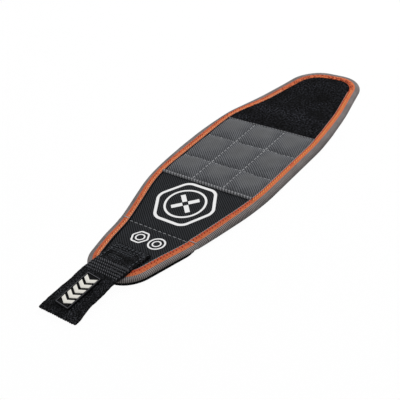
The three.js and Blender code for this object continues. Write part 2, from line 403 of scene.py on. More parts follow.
@dataclass
class Band:
    """The band's outline, layers and folds, as the frame gives them."""

    front_shoulder: float = 3.0
    front_width: float = 41.3
    front_corner: float = 21.5
    loop_shoulder: float = 4.0
    loop_width: float = 54.0
    loop_corner: float = 26.5
    rounding: float = 150.0
    binding_width: float = 3.0
    trim_width: float = 5.4
    side_gap: float = 0.3
    hem_width: float = 3.0
    column_width: float = 28.0
    bend_reach: float = 12.0
    front_bend_reach: float = 8.5

    FOLDS = ("front_fold", "badge_fold", "tab_side_wrap", "loop_side_wrap", "loop_fold", "loop_tip_fold")

    def __post_init__(self) -> None:
        """Reads the folds, the layers and the ends from the frame."""
        joints = {joint["name"]: joint for joint in frame["joints"]}
        self.folds = [joints[name]["pos_m"][0] / MM for name in self.FOLDS]
        self.seam, self.pad_front, self.row_front, self.row_rear, self.pad_rear, self.loop_fold = self.folds
        self.tab_hinge = Vector(joints["tab_flex"]["pos_m"]) / MM
        layers = ("badge_lining", "badge_foam", "badge_panel", "hook_pad", "badge_binding_left")
        self.lining_top, self.foam_top, self.cover_top, self.hook_top, self.binding_top = (
            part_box(layer)[1].z / MM for layer in layers)
        self.core_inset = self.binding_width + self.side_gap
        self.trim_inset = self.binding_width + self.trim_width
        self.cover_inset = self.trim_inset + self.side_gap
        front = TaperedEnd(-1, self.pad_front - self.front_shoulder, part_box("front_binding")[0].x / MM,
                           self.front_width, self.front_corner)
        loop = TaperedEnd(1, self.pad_rear + self.loop_shoulder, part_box("loop_tip_binding")[1].x / MM,
                          self.loop_width, self.loop_corner)
        width = 2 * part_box("row_middle_binding_left")[1].y / MM
        self.outline = Outline(front, loop, width, self.rounding, self.seam)
        self.segments = self.cut(joints)

    def cut(self, joints: dict[str, dict]) -> list[Segment]:
        """Cuts the band between its folds, so that each length holds one fold only.

        Args:
            joints: The joints by name.

        Returns:
            The lengths from the front to the far end.
        """
        cuts = [(a + b) / 2 for a, b in zip(self.folds, self.folds[1:])]
        cuts[0] = self.seam + self.front_bend_reach + self.side_gap
        bounds = [-math.inf, *cuts, math.inf]
        segments = []
        for name, fold, start, end in zip(self.FOLDS, self.folds, bounds, bounds[1:]):
            bodies = [joints[name]["parent"], joints[name]["child"]]
            if joints[name]["axis"][1] < 0:
                bodies.reverse()
            reach = self.front_bend_reach if fold == self.seam else self.bend_reach
            segments.append(Segment(name, start, end, fold, *bodies, reach))
        return segments

    def lift(self, x: Array) -> Array:
        """Height of the lining's underside, which rises over the hook pad at the front."""
        return self.hook_top * self.outline.stepped(x)


def tone(colour: str) -> tuple[float, ...]:
    """Linear red, green, blue and alpha of an sRGB colour that is written as six hexadecimal digits."""
    shares = [int(colour[i:i + 2], 16) / 255 for i in (0, 2, 4)]
    return (*(s / 12.92 if s <= 0.04045 else ((s + 0.055) / 1.055) ** 2.4 for s in shares), 1.0)


def add_node(tree: Tree, kind: str, inputs: dict | None = None, **settings: object) -> Node:
    """Adds a node to the tree of a material or a world.

    Args:
        tree: The node tree.
        kind: Type of the node.
        inputs: Values or sockets for its inputs, by name or number.
        settings: Attributes of the node.

    Returns:
        The node.
    """
    node = tree.nodes.new(kind)
    for name, value in settings.items():
        setattr(node, name, value)
    for key, value in (inputs or {}).items():
        if isinstance(value, Socket):
            tree.links.new(value, node.inputs[key])
        else:
            node.inputs[key].default_value = value
    return node


class Surface:
    """The nodes of one procedural material, placed by a piece's cloth map in millimetres."""

    WAVE_RATE = 20.0
    CELL_SCATTER = 0.25
    MAIN_SHARE = 0.7

    def __init__(self, name: str, **sockets: float) -> None:
        """Starts the material.

        Args:
            name: Name of the material.
            sockets: Values of the shader's sockets, with underscores for spaces.
        """
        self.material = bpy.data.materials.new(name)
        self.material.use_nodes = True
        self.tree = self.material.node_tree
        self.shader = self.tree.nodes["Principled BSDF"]
        for socket, value in sockets.items():
            self.shader.inputs[socket.replace("_", " ")].default_value = value
        self.cloth = self.node("ShaderNodeUVMap", uv_map=CLOTH_MAP).outputs[0]

    def node(self, kind: str, inputs: dict | None = None, **settings: object) -> Node:
        """Adds a node to the material."""
        return add_node(self.tree, kind, inputs, **settings)

    def part(self, index: int) -> Socket:
        """One coordinate of the cloth map."""
        return self.node("ShaderNodeSeparateXYZ", {0: self.cloth}).outputs[index]

    def bands(self, pitch: float, turn: float) -> Socket:
        """Even ribs from 0 to 1. At a turn of 0 degrees they follow each other along the cloth."""
        turned = self.node("ShaderNodeMapping", {"Vector": self.cloth, "Rotation": (0, 0, math.radians(turn))})
        return self.node("ShaderNodeTexWave", {
            "Vector": turned.outputs[0], "Scale": 2 * math.pi / (self.WAVE_RATE * pitch)}).outputs["Fac"]

    def noise(self, size: float, detail: float = 2.0) -> Socket:
        """Soft spots of a size, from 0 to 1."""
        inputs = {"Vector": self.cloth, "Scale": 1 / size, "Detail": detail}
        return self.node("ShaderNodeTexNoise", inputs).outputs[0]

    def cells(self, size: float) -> Socket:
        """Even round cells of a size, as the distance from their middles."""
        inputs = {"Vector": self.cloth, "Scale": 1 / size, "Randomness": self.CELL_SCATTER}
        return self.node("ShaderNodeTexVoronoi", inputs).outputs["Distance"]

    def math(self, operation: str, *values: object) -> Socket:
        """One sum on values or sockets."""
        return self.node("ShaderNodeMath", dict(enumerate(values)), operation=operation).outputs[0]

    def dim(self, height: Socket, share: Socket, amount: float) -> Socket:
        """Lowers a height by no more than an amount of itself, most where the share is 0."""
        return self.math("MULTIPLY", height, self.math("MULTIPLY_ADD", share, amount, 1 - amount))

    def weigh(self, main: Socket, other: Socket) -> Socket:
        """Adds two shares up to one, mostly from the first."""
        rest = self.math("MULTIPLY", other, 1 - self.MAIN_SHARE)
        return self.math("MULTIPLY_ADD", main, self.MAIN_SHARE, rest)

    def spread(self, share: Socket, low: float, high: float) -> Socket:
        """Stretches shares between low and high to the whole of 0 to 1."""
        return self.node("ShaderNodeMapRange", {0: share, 1: low, 2: high}).outputs[0]

    def mix(self, share: Socket, first: object, last: object) -> Socket:
        """Goes between two colours, written or from sockets, by a share."""
        ends = [tone(end) if isinstance(end, str) else end for end in (first, last)]
        return self.node("ShaderNodeMix", {0: share, 6: ends[0], 7: ends[1]}, data_type="RGBA").outputs[2]

    def paint(self, share: Socket, first: object, last: object) -> None:
        """Gives the shader a colour between two colours."""
        self.tree.links.new(self.mix(share, first, last), self.shader.inputs["Base Color"])

    def roughen(self, share: Socket, low: float, high: float) -> None:
        """Lets the roughness follow a share."""
        spread = self.node("ShaderNodeMapRange", {0: share, 3: low, 4: high}).outputs[0]
        self.tree.links.new(spread, self.shader.inputs["Roughness"])

    def emboss(self, height: Socket, depth: float) -> None:
        """Raises the surface by a height from 0 to 1, as deep as a depth."""
        bump = self.node("ShaderNodeBump", {"Height": height, "Distance": depth * MM, "Strength": 1.0})
        self.tree.links.new(bump.outputs[0], self.shader.inputs["Normal"])


@dataclass(frozen=True)
class Finish:
    """A finish of one of the record's slots, with its colours as written in sRGB."""

    name: str
    slot: Slot
    dark: str
    light: str
    roughness: float = 0.8
    gloss: float = 0.05
    metallic: float = 0.0

    POLISH = (0.06, 0.06)

    def material(self) -> bpy.types.Material:
        """Makes the material.

        Returns:
            The material with all its nodes.
        """
        surface = Surface(self.name, Specular_IOR_Level=self.gloss, Metallic=self.metallic)
        self.dress(surface)
        return surface.material

    def dress(self, surface: Surface) -> None:
        """Adds the finish's own nodes to a surface."""
        raise NotImplementedError

    def roughen(self, surface: Surface, share: Socket) -> None:
        """Lets the roughness follow a share, from a little below its value to a little above it."""
        surface.roughen(share, self.roughness - self.POLISH[0], self.roughness + self.POLISH[1])


@dataclass(frozen=True, kw_only=True)
class Weave(Finish):
    """Woven cloth or tape: ribs crossed by finer yarn, with slow changes of colour."""

    pitch: float
    turn: float
    yarn: float
    depth: float
    mottle: float  # size of the slow changes

    RIB_RANGE, SPOT_RANGE = (0.05, 0.9), (0.3, 0.7)
    YARN_SHARE, MOTTLE_SHARE = 0.2, 0.4
    FIBRE_TINT, FIBRE_RELIEF = 0.2, 0.25

    def colour(self, surface: Surface, share: Socket) -> None:
        """Colours the weave by a share from its grooves to its ribs."""
        surface.paint(share, self.dark, self.light)

    def weave(self, surface: Surface) -> Socket:
        """Height of the weave, from 0 in its grooves to 1 on its ribs."""
        ribs = surface.spread(surface.bands(self.pitch, self.turn), *self.RIB_RANGE)
        return surface.dim(ribs, surface.bands(self.yarn, self.turn + 90), self.YARN_SHARE)

    def dress(self, surface: Surface) -> None:
        """Adds the ribs, the yarn and the slow changes.

        Args:
            surface: Surface that gets them.
        """
        weave = self.weave(surface)
        slow = surface.spread(surface.noise(self.mottle), *self.SPOT_RANGE)
        fibre = surface.spread(surface.noise(self.yarn), *self.SPOT_RANGE)
        share = surface.dim(weave, slow, self.MOTTLE_SHARE)
        self.colour(surface, surface.math("MULTIPLY_ADD", fibre, self.FIBRE_TINT, share))
        self.roughen(surface, slow)
        surface.emboss(surface.math("MULTIPLY_ADD", fibre, self.FIBRE_RELIEF, weave), self.depth)


@dataclass(frozen=True, kw_only=True)
class WornAndLitWeave(Weave):
    """Woven cloth that is evened and tinted paler where a piece's wear is high: partly wear, partly painted light
    on the lit tops of the quilt's cells.
    """

    worn: float = 0.5  # height that the weave is evened towards, where it is worn and lit
    smooth: float = 0.6  # share that full wear takes away
    worn_lit_tone: str = "626260"
    worn_lit_share: float = 0.3

    @staticmethod
    def wear(surface: Surface) -> Socket:
        """Wear of the piece, from 0 to 1: partly wear, partly painted light."""
        return surface.node("ShaderNodeAttribute", attribute_name=WEAR).outputs["Fac"]

    def weave(self, surface: Surface) -> Socket:
        """Height of the weave, which is nearly even where it is worn and lit."""
        kept = surface.math("MULTIPLY_ADD", self.wear(surface), -self.smooth, 1.0)
        return surface.math("MULTIPLY_ADD", surface.math("SUBTRACT", super().weave(surface), self.worn), kept,
                            self.worn)

    def colour(self, surface: Surface, share: Socket) -> None:
        """Colours the weave, with a warmer, paler tone where it is worn and lit: partly wear, partly painted
        light.
        """
        worn_lit_tone = surface.math("MULTIPLY", self.wear(surface), self.worn_lit_share)
        surface.paint(worn_lit_tone, surface.mix(share, self.dark, self.light), self.worn_lit_tone)


@dataclass(frozen=True, kw_only=True)
class PaintedShadeWeave(Weave):
    """Woven tape whose part past a split across its cloth map has other, darker colours: painted shade on one side
    of the tape.
    """

    inner_dark: str
    inner_light: str
    split: float
    fade: float = 0.4

    def colour(self, surface: Surface, share: Socket) -> None:
        """Colours both parts of the tape by a share from its grooves to its ribs, the part past the split in
        painted shade.
        """
        inner = surface.spread(surface.part(1), self.split - self.fade, self.split + self.fade)
        surface.paint(inner, surface.mix(share, self.dark, self.light),
                      surface.mix(share, self.inner_dark, self.inner_light))


@dataclass(frozen=True, kw_only=True)
class Napped(Finish):
    """Brushed pile, open mesh or other cloth whose surface is made of spots."""

    grain: float
    patch: float
    depth: float
    roughness: float = 0.9
    mesh: float = 0.0  # size of its cells, or 0 for none
    light_band: float = 0.0  # station of a band of painted light across the cloth, or 0 for none
    light_band_reach: float = 7.0

    POLISH = (0.08, 0.04)
    GRAIN_RANGE, PATCH_RANGE, MESH_RANGE = (0.43, 0.66), (0.36, 0.64), (0.2, 0.5)
    PATCH_SHARE, GRAIN_RELIEF = 0.8, 0.3

    def dress(self, surface: Surface) -> None:
        """Adds the grain, the patches, a band of painted light and the mesh.

        Args:
            surface: Surface that gets them.
        """
        grain = surface.spread(surface.noise(self.grain, detail=1.0), *self.GRAIN_RANGE)
        patch = surface.spread(surface.noise(self.patch, detail=3.0), *self.PATCH_RANGE)
        height = grain
        # A paler band across the cloth at one station: painted light.
        if self.light_band:
            off = surface.math("ABSOLUTE", surface.math("SUBTRACT", surface.part(0), self.light_band))
            patch = surface.math("ADD", patch, surface.spread(off, self.light_band_reach, 0.0))
        if self.mesh:
            height = surface.spread(surface.cells(self.mesh), *self.MESH_RANGE)
        surface.paint(surface.dim(height, patch, self.PATCH_SHARE), self.dark, self.light)
        self.roughen(surface, patch)
        surface.emboss(surface.math("MULTIPLY_ADD", grain, self.GRAIN_RELIEF, height), self.depth)


@dataclass(frozen=True, kw_only=True)
class Moulded(Finish):
    """Moulded rubber, plastic or print: fine grain with worn, slightly paler spots."""

    grain: float
    wear: float
    depth: float
    roughness: float = 0.6
    gloss: float = 0.06

    POLISH = (0.08, 0.1)
    WEAR_RANGE = (0.35, 0.75)

    def dress(self, surface: Surface) -> None:
        """Adds the grain and the worn spots.

        Args:
            surface: Surface that gets them.
        """
        grain = surface.noise(self.grain, detail=3.0)
        wear = surface.spread(surface.noise(self.wear), *self.WEAR_RANGE)
        surface.paint(surface.weigh(wear, grain), self.dark, self.light)
        self.roughen(surface, wear)
        surface.emboss(grain, self.depth)


@dataclass(frozen=True, kw_only=True)
class Twist(Finish):
    """Twisted thread: slanting strands round each stitch."""

    roughness: float = 0.6
    gloss: float = 0.2
    strands: float = 5.0
    slant: float = 35.0
    wear: float = 0.4
    depth: float = 0.02

    POLISH = (0.05, 0.1)

    def dress(self, surface: Surface) -> None:
        """Adds the strands and the worn spots.

        Args:
            surface: Surface that gets them.
        """
        strands = surface.bands(1 / self.strands, self.slant)
        wear = surface.noise(self.wear)
        surface.paint(surface.weigh(strands, wear), self.dark, self.light)
        self.roughen(surface, wear)
        surface.emboss(strands, self.depth)


@dataclass(frozen=True, kw_only=True)
class Plated(Finish):
    """Nickel-plated metal with fine scuffs, placed by the solid's own coordinates in metres."""

    scuff: float
    roughness: float = 0.28
    gloss: float = 0.5
    metallic: float = 1.0

    POLISH = (0.08, 0.12)

    def dress(self, surface: Surface) -> None:
        """Adds the scuffs.

        Args:
            surface: Surface that gets them.
        """
        surface.cloth = surface.node("ShaderNodeTexCoord").outputs["Object"]
        scuff = surface.noise(self.scuff, detail=4.0)
        surface.paint(scuff, self.dark, self.light)
        self.roughen(surface, scuff)


TWILL = {"pitch": 1.52, "turn": 40, "yarn": 0.8, "depth": 0.3}
BEADED = {"roughness": 0.75, "pitch": 2.45, "turn": 0, "yarn": 0.5, "depth": 0.05, "mottle": 4.0}
RUBBERY = {"grain": 0.35, "depth": 0.015}

NYLON = Weave("woven_nylon", Slot.NYLON, "020202", "36383c", 0.75, mottle=9.0, **TWILL)
# The quilt's weave is evened and paler in a round patch a little past the middle of each cell: partly wear, partly
# painted light on the lit top.
QUILT = WornAndLitWeave("quilt_cloth", Slot.QUILT, "37373a", "787a7e", mottle=11.0, **TWILL)
HEM = Weave("hem_cloth", Slot.QUILT, "3a3a3d", "98999c", pitch=2.3, turn=30, yarn=0.5, depth=0.12, mottle=6.0)
# The pile has a paler band of painted light across it near station 70.
PILE = Napped("brushed_pile", Slot.PILE, "000000", "35363c", roughness=0.95, grain=1.5, patch=22.0, depth=0.6,
              light_band=70.0)
FUZZ = Moulded("pile_fibre", Slot.PILE, "020203", "18191b", roughness=0.85, grain=0.6, wear=3.0, depth=0.01)
LINING = Napped("spacer_mesh", Slot.LINING, "17181b", "4c4e54", grain=0.8, patch=9.0, depth=0.5, mesh=2.4)
# The binding's lower half, from the middle of its outer side down to its bottom flap, has the darker colours as
# painted shade.
BINDING = PaintedShadeWeave("grosgrain", Slot.BINDING, "302e2f", "a49c9a", pitch=1.3, turn=0, yarn=0.6, depth=0.1,
                  mottle=14.0, inner_dark="232122", inner_light="7c7674", split=4.4, fade=1.8)
# On the trim, the half that slopes towards +Y has the darker colours as painted shade, and the half that slopes
# towards -Y has the paler ones.
TRIM = PaintedShadeWeave("woven_trim", Slot.TRIM, "b25632", "e88458", 0.75, pitch=0.9, turn=75, yarn=0.6, depth=0.08,
               mottle=4.0, inner_dark="a0482c", inner_light="e67a52", split=2.3)
# A pale cord: the selvage's own light grey, made paler on the near side as a painted highlight.
SELVAGE_HIGHLIGHT_CORD = Weave("edge_cord", Slot.BINDING, "6a6868", "d2cfcc", **BEADED)
ROSY_CORD = Weave("rosy_cord", Slot.TRIM, "b07c68", "e4bfae", **BEADED)
# A dark cord that stands for the painted shadow in the gap between the trim and the cover.
SHADOW_CORD = Weave("shaded_cord", Slot.NYLON, "060607", "1c1c20", 0.85, pitch=0.9, turn=35, yarn=0.5,
                    depth=0.05, mottle=4.0)
WEBBING = Napped("tab_webbing", Slot.WEBBING, "000000", "44454a", grain=1.0, patch=6.0, depth=0.3)
HOOK = Moulded("hook_tape", Slot.HOOK, "050506", "18181b", grain=0.6, wear=5.0, depth=0.02)
RUBBER = Moulded("label_rubber", Slot.RUBBER, "020203", "0e0e11", wear=6.0, **RUBBERY)
# The label's rim is painted paler than the plate: a painted highlight.
RIM_HIGHLIGHT_RUBBER = Moulded("worn_rubber", Slot.RUBBER, "4a4a4e", "7c7c82", roughness=0.55, wear=3.0, **RUBBERY)
PALE_RUBBER = Moulded("pale_rubber", Slot.RUBBER, "ece9e0", "fffdf6", roughness=0.55, wear=3.0, **RUBBERY)
PRINT = Moulded("white_print", Slot.NYLON, "f0f0f0", "ffffff", grain=0.5, wear=4.0, depth=0.03)
DULL_THREAD = Twist("dull_thread", Slot.NYLON, "7e8084", "b4b6b8")
ROSY_THREAD = Twist("rosy_thread", Slot.TRIM, "d8a892", "f4d8c8")
GREY_THREAD = Twist("grey_thread", Slot.QUILT, "9a9b9d", "d4d5d7")
BLACK_THREAD = Twist("black_thread", Slot.WEBBING, "2c2f33", "5c6066")
BAR_THREAD = Twist("bar_thread", Slot.WEBBING, "2a2a2d", "626368")
ORANGE_THREAD = Twist("orange_thread", Slot.TRIM, "e2925a", "ffc08c")
RED_THREAD = Twist("red_thread", Slot.TRIM, "742411", "a0381d", roughness=0.7)
EMBER_THREAD = Twist("ember_thread", Slot.TRIM, "b84626", "d45c38", roughness=0.7)
GOLD_THREAD = Twist("gold_thread", Slot.TRIM, "d88a40", "f2ae60")
NICKEL = Plated("nickel", Slot.MAGNET, "9a9ca0", "c8cacd", scuff=0.0006)


@cache
def material_of(finish: Finish) -> bpy.types.Material:
    """The one material of a finish."""
    return finish.material()


def new_shape() -> Shape:
    """An empty shape with a cloth map.

    Returns:
        The shape.
    """
    bm = bmesh.new()
    bm.loops.layers.uv.new(CLOTH_MAP)
    return bm


def raise_faces(bm: Shape) -> list[bmesh.types.BMVert]:
    """Gives flat faces an upper side, which still lies on them, and returns its corners."""
    raised = bmesh.ops.extrude_face_region(bm, geom=bm.faces[:])["geom"]
    return [part for part in raised if isinstance(part, bmesh.types.BMVert)]


def bevel(bm: Shape, geom: list, offset: float, segments: int, affect: str = "EDGES") -> None:
    """Rounds edges or corners of a shape."""
    bmesh.ops.bevel(bm, geom=geom, offset=offset, segments=segments, profile=0.5, affect=affect, material=-1)


def add_cone(bm: Shape, sides: int, radii: Span, depth: float, matrix: Matrix) -> None:
    """Adds a small cone with blunt ends to a shape."""
    bmesh.ops.create_cone(bm, cap_ends=True, segments=sides, radius1=radii[0], radius2=radii[1],
                          depth=depth, matrix=matrix, calc_uvs=True)


def points_of(mesh: bpy.types.Mesh) -> Array:
    """Points of a mesh.

    Args:
        mesh: The mesh.

    Returns:
        Rows of x, y and z.
    """
    points = np.empty(len(mesh.vertices) * 3, np.float32)
    mesh.vertices.foreach_get("co", points)
    return points.reshape(-1, 3).astype(float)


def move_points(mesh: bpy.types.Mesh, points: Array) -> None:
    """Gives the points of a mesh new places."""
    mesh.vertices.foreach_set("co", points.astype(np.float32).ravel())


def finish_piece(bm: Shape, name: str, finish: Finish) -> Piece:
    """Turns a modelled shape into a dressed piece in metres.

    Args:
        bm: The shape in millimetres. It is freed.
        name: Name of the piece.
        finish: Its finish.

    Returns:
        The piece, which rides on nothing yet.
    """
    bmesh.ops.recalc_face_normals(bm, faces=bm.faces)
    mesh = bpy.data.meshes.new(name)
    bm.to_mesh(mesh)
    bm.free()
    move_points(mesh, LIE.lay(points_of(mesh)) * MM)
    mesh.update()
    mesh.polygons.foreach_set("use_smooth", np.ones(len(mesh.polygons), bool))
    mesh.set_sharp_from_angle(angle=SHARP_ANGLE)
    mesh.materials.append(material_of(finish))
    piece = bpy.data.objects.new(name, mesh)
    bpy.context.scene.collection.objects.link(piece)
    log.info("%s: %d faces", name, len(mesh.polygons))
    return piece


def block(name: str, columns: int, rows: int, place: Placing, finish: Finish) -> Piece:
    """A closed piece between two grids, an under side and an upper side, moved into shape.

    Args:
        name: Name of the piece.
        columns: Faces across.
        rows: Faces along.
        place: Takes shares across, along and up, and gives points and their places on the cloth.
        finish: Finish of the piece.

    Returns:
        The piece.
    """
    bm = new_shape()
    bmesh.ops.create_grid(bm, x_segments=columns, y_segments=rows, size=0.5)
    bmesh.ops.translate(bm, vec=(0, 0, 1), verts=raise_faces(bm))
    shell = bpy.data.meshes.new(name)
    bm.to_mesh(shell)
    points, cloth = place(*(points_of(shell) + np.array([0.5, 0.5, 0.0])).T)
    move_points(shell, points)
    corners = np.empty(len(shell.loops), np.int32)
    shell.loops.foreach_get("vertex_index", corners)
    shell.uv_layers[CLOTH_MAP].data.foreach_set("uv", cloth[corners].astype(np.float32).ravel())
    bm.clear()
    bm.from_mesh(shell)
    bpy.data.meshes.remove(shell)
    return finish_piece(bm, name, finish)


@dataclass
class Covers:
    """The padded panels of the band: woven front, quilted magnet pad and loop pile."""

    band: Band
    grid: float = 0.75
    tuck_depth: float = 0.05
    tuck_start: float = 7.6
    tuck_width: float = 2.0
    quilt_crown: float = 2.6
    crown_fullness: float = 0.8  # how fast a cell rises to its flat top
    magnet_radius: float = 11.0
    magnet_edge: float = 2.5
    magnet_print: float = 0.22
    pucker: Span = (2.6, 0.4)
    pucker_start: float = 0.8
    pucker_reach: float = 2.6
    slack: Span = (9.0, 0.12)
    seam_wave: Span = (3.2, 0.55)
    wear_centre: float = 0.62  # share of a cell's length
    lit_wear_reach: float = 0.95
    wear_fade: float = 0.6
    front_wave: Span = (16.0, 0.14)
    seam_dip: float = 0.4
    groove_width: float = 1.1
    wrinkle: Span = (3.0, 0.1)
    wrinkle_reach: float = 5.0
    pile_height: float = 0.25
    tufts: tuple[Span, Span] = ((1.3, 0.2), (3.4, 0.14))
    hem_offset: float = 1.3
    rear_offset: float = 0.1
    fill: float = 0.7
    bumps: Unevenness = Unevenness(7)

    WAVER_ROW, SLACK_SHIFT = 3.0, 40.0

    def waver(self, y: Array) -> Array:
        """How far a crosswise seam lies off its station, at places across."""
        return self.bumps.at(y, np.full_like(y, self.WAVER_ROW), *self.seam_wave)

    def cell_share(self, x: Array, y: Array) -> tuple[Array, Array, Array]:
        """Where points lie in their quilted cells.

        Args:
            x: Stations.
            y: Places across.

        Returns:
            Shares along and across the cell, and the distance to the nearest seam.
        """
        band = self.band
        seams = np.array([band.pad_front + band.hem_width, band.row_front, band.row_rear, band.pad_rear])
        wave = self.waver(y)
        row = np.clip(np.searchsorted(seams, x - wave) - 1, 0, len(seams) - 2)
        start, end = seams[row], seams[row + 1]
        along = np.clip((x - wave - start) / (end - start), 0, 1)
        half_column = band.column_width / 2
        outer = np.abs(y) > half_column
        low = np.where(outer, half_column, -half_column)
        high = np.where(outer, band.outline.half_width(x, band.cover_inset), half_column)
        across = np.clip((np.where(outer, np.abs(y), y) - low) / (high - low), 0, 1)
        along_way, across_way = np.minimum(along, 1 - along), np.minimum(across, 1 - across)
        return along, across, np.minimum(along_way * (end - start), across_way * (high - low))

    def quilt_relief(self, x: Array, y: Array) -> Array:
        """Height of the quilt over its seams.

        Args:
            x: Stations.
            y: Places across.

        Returns:
            Heights.
        """
        along, across, near = self.cell_share(x, y)
        rise = np.tanh(self.crown_fullness * crown(along) * crown(across)) / math.tanh(self.crown_fullness)
        beside = np.exp(-near / self.pucker_reach) * smoothstep(near / self.pucker_start)
        off_centre = np.hypot(along - 0.5, across - 0.5) * self.band.column_width
        flat = smoothstep((self.magnet_radius - off_centre) / self.magnet_edge)
        return (self.quilt_crown * rise + self.magnet_print * flat + beside * self.bumps.at(x, y, *self.pucker)
                + rise * self.bumps.at(x + self.SLACK_SHIFT, y, *self.slack))

    def wear(self, x: Array, y: Array) -> Array:
        """How far the quilt is evened and paler, from 0 to 1, partly as wear and partly as painted light on each
        cell's lit top: most over the magnets and past them in each cell.
        """
        along, across, _ = self.cell_share(x, y)
        return smoothstep(
            (self.lit_wear_reach - 2 * np.hypot(along - self.wear_centre, across - 0.5)) / self.wear_fade)

    def nylon_relief(self, x: Array, y: Array) -> Array:
        """Slight waves of the woven front, with a groove at the dashed seam."""
        beside, groove = (hump(x - self.band.seam, width) for width in (self.wrinkle_reach, self.groove_width))
        return (self.bumps.at(x, y, *self.front_wave) + beside * self.bumps.at(x, y, *self.wrinkle)
                - self.seam_dip * groove)

    def pile_relief(self, x: Array, y: Array) -> Array:
        """Tufted surface of the pile."""
        fine, coarse = self.tufts
        return self.pile_height + self.bumps.at(x, y, *fine) + self.bumps.at(y, x, *coarse)

    def top(self, x: Array, y: Array, cloth: Cloth) -> Array:
        """Height of the cover at points of the band.

        Args:
            x: Stations.
            y: Places across.
            cloth: Cloth of the cover there.

        Returns:
            Heights.
        """
        reliefs = {Cloth.NYLON: self.nylon_relief, Cloth.QUILT: self.quilt_relief, Cloth.PILE: self.pile_relief}
        low = self.band.foam_top - self.tuck_depth
        tuck = smoothstep((self.band.outline.inset(x, y) - self.tuck_start) / self.tuck_width)
        return low + tuck * (self.band.cover_top - low + reliefs[cloth](x, y))

    def panel(self, name: str, start: float, end: float, cloth: Cloth) -> Piece:
        """One padded panel.

        Args:
            name: Name of the panel.
            start: First station.
            end: Last station.
            cloth: Cloth of the cover.

        Returns:
            The panel with the foam in it.
        """
        band, outline = self.band, self.band.outline
        stations = outline.rows(start, end, self.grid, band.folds, band.core_inset)
        half_column = band.column_width / 2
        columns = 3 * math.ceil(outline.width / 3 / self.grid)

        def place(across: Array, along: Array, up: Array) -> tuple[Array, Array]:
            """Places the panel's grids, with a third of a quilt's columns in each of its three cells."""
            x = pick(stations, along)
            reach = outline.half_width(x, band.core_inset)
            y = (2 * across - 1) * reach
            if cloth is Cloth.QUILT:
                off = 3 * np.abs(2 * across - 1)
                outer = half_column + (reach - half_column) * (off - 1) / 2
                y = np.sign(across - 0.5) * np.where(off > 1, outer, off * half_column)
            bottom = band.lift(x) + band.lining_top
            return placed(x, y, lerp(bottom, self.top(x, y, cloth), up), x, y)

        finishes = {Cloth.NYLON: NYLON, Cloth.QUILT: QUILT, Cloth.PILE: PILE}
        piece = block(name, columns, len(stations) - 1, place, finishes[cloth])
        if cloth is Cloth.QUILT:
            # The wear attribute also carries painted light on the lit top of each cell.
            cloth_map = np.empty(len(piece.data.loops) * 2, np.float32)
            piece.data.uv_layers[CLOTH_MAP].data.foreach_get("uv", cloth_map)
            wear = self.wear(*cloth_map.reshape(-1, 2).astype(float).T)
            worn = piece.data.attributes.new(WEAR, "FLOAT", "CORNER")
            worn.data.foreach_set("value", wear.astype(np.float32))
        return piece

    def build(self) -> None:
        """Makes every panel and hides the frame's solids that it replaces."""
        band = self.band
        front, badge, row_front, row_rear, rear, tip = band.segments
        plan = (
            ("front_cover", front, -math.inf, front.end, Cloth.NYLON, ("front", "badge")),
            ("badge_cover", badge, front.end, band.pad_front, Cloth.NYLON, ("badge",)),
            ("pad_front_row", badge, band.pad_front, badge.end, Cloth.QUILT, ("row_front",)),
            ("pad_front_half", row_front, badge.end, row_front.end, Cloth.QUILT, ("row_front", "row_middle")),
            ("pad_rear_half", row_rear, row_front.end, row_rear.end, Cloth.QUILT, ("row_middle", "row_rear")),
            ("pad_rear_row", rear, row_rear.end, band.pad_rear, Cloth.QUILT, ("row_rear",)),
            ("pile_inner", rear, band.pad_rear, rear.end, Cloth.PILE, ("loop_inner",)),
            ("pile_tip", tip, rear.end, math.inf, Cloth.PILE, ("loop_inner", "loop_tip")),
        )
        for name, segment, start, end, cloth, lengths in plan:
            piece = self.panel(name, start, end, cloth)
            segment.carry(piece)
            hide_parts(*(f"{length}_{layer}" for length in lengths for layer in ("foam", "panel")))

    def rolls(self) -> list["Roll"]:
        """The rolled hem on the pad's front edge and the turned edge at its rear."""
        band = self.band
        return [
            Roll(self, "pad_hem", band.segments[1], band.pad_front + self.hem_offset,
                 half_width=1.1, half_height=0.7, ridge=0.4, pitch=2.3),
            Roll(self, "pad_rear_edge", band.segments[4], band.pad_rear - self.rear_offset,
                 half_width=0.5, half_height=0.5, ridge=0.15, pitch=1.9),
        ]


@dataclass
class Fuzz:
    """Loose fibres on the pile."""

    covers: Covers
    count: int = 5200
    length: float = 1.3
    radii: Span = (0.11, 0.04)
    rise: float = 0.25
    tilt: Span = (0.5, 1.35)
    size: Span = (0.6, 1.2)
    start: float = 0.6
    overlap: float = 0.2
    spill: float = 0.9  # further over the trim at the loop's tip
    spill_length: float = 40.0
    clearance: float = 0.3
    seed: int = 11

    def build(self) -> None:
        """Scatters the fibres over the pile."""
        band, draw = self.covers.band, np.random.default_rng(self.seed)
        half_width = band.outline.width / 2
        x = draw.uniform(band.pad_rear + self.start, band.outline.loop.tip, self.count)
        y = draw.uniform(-half_width, half_width, self.count)
        tilt, heading = draw.uniform(*self.tilt, self.count), draw.uniform(0, 2 * math.pi, self.count)
        size = draw.uniform(*self.size, self.count)
        spill = self.spill * smoothstep((x - band.loop_fold) / self.spill_length)
        kept = band.outline.inset(x, y) > band.trim_inset - self.overlap - spill
        height = np.maximum(self.covers.top(x, y, Cloth.PILE), band.cover_top + self.clearance)
        rise = Matrix.Translation((0, 0, self.rise * self.length))
        for segment in band.segments[-2:]:
            bm = new_shape()
            for i in np.flatnonzero(kept & (x >= segment.start) & (x < segment.end)):
                lean = Matrix.Rotation(heading[i], 4, "Z") @ Matrix.Rotation(tilt[i], 4, "Y")
                stem = Matrix.Translation((x[i], y[i], height[i])) @ lean @ Matrix.Scale(size[i], 4) @ rise
                add_cone(bm, 3, self.radii, self.length, stem)
            segment.carry(finish_piece(bm, f"pile_fibres_{segment.name}", FUZZ))


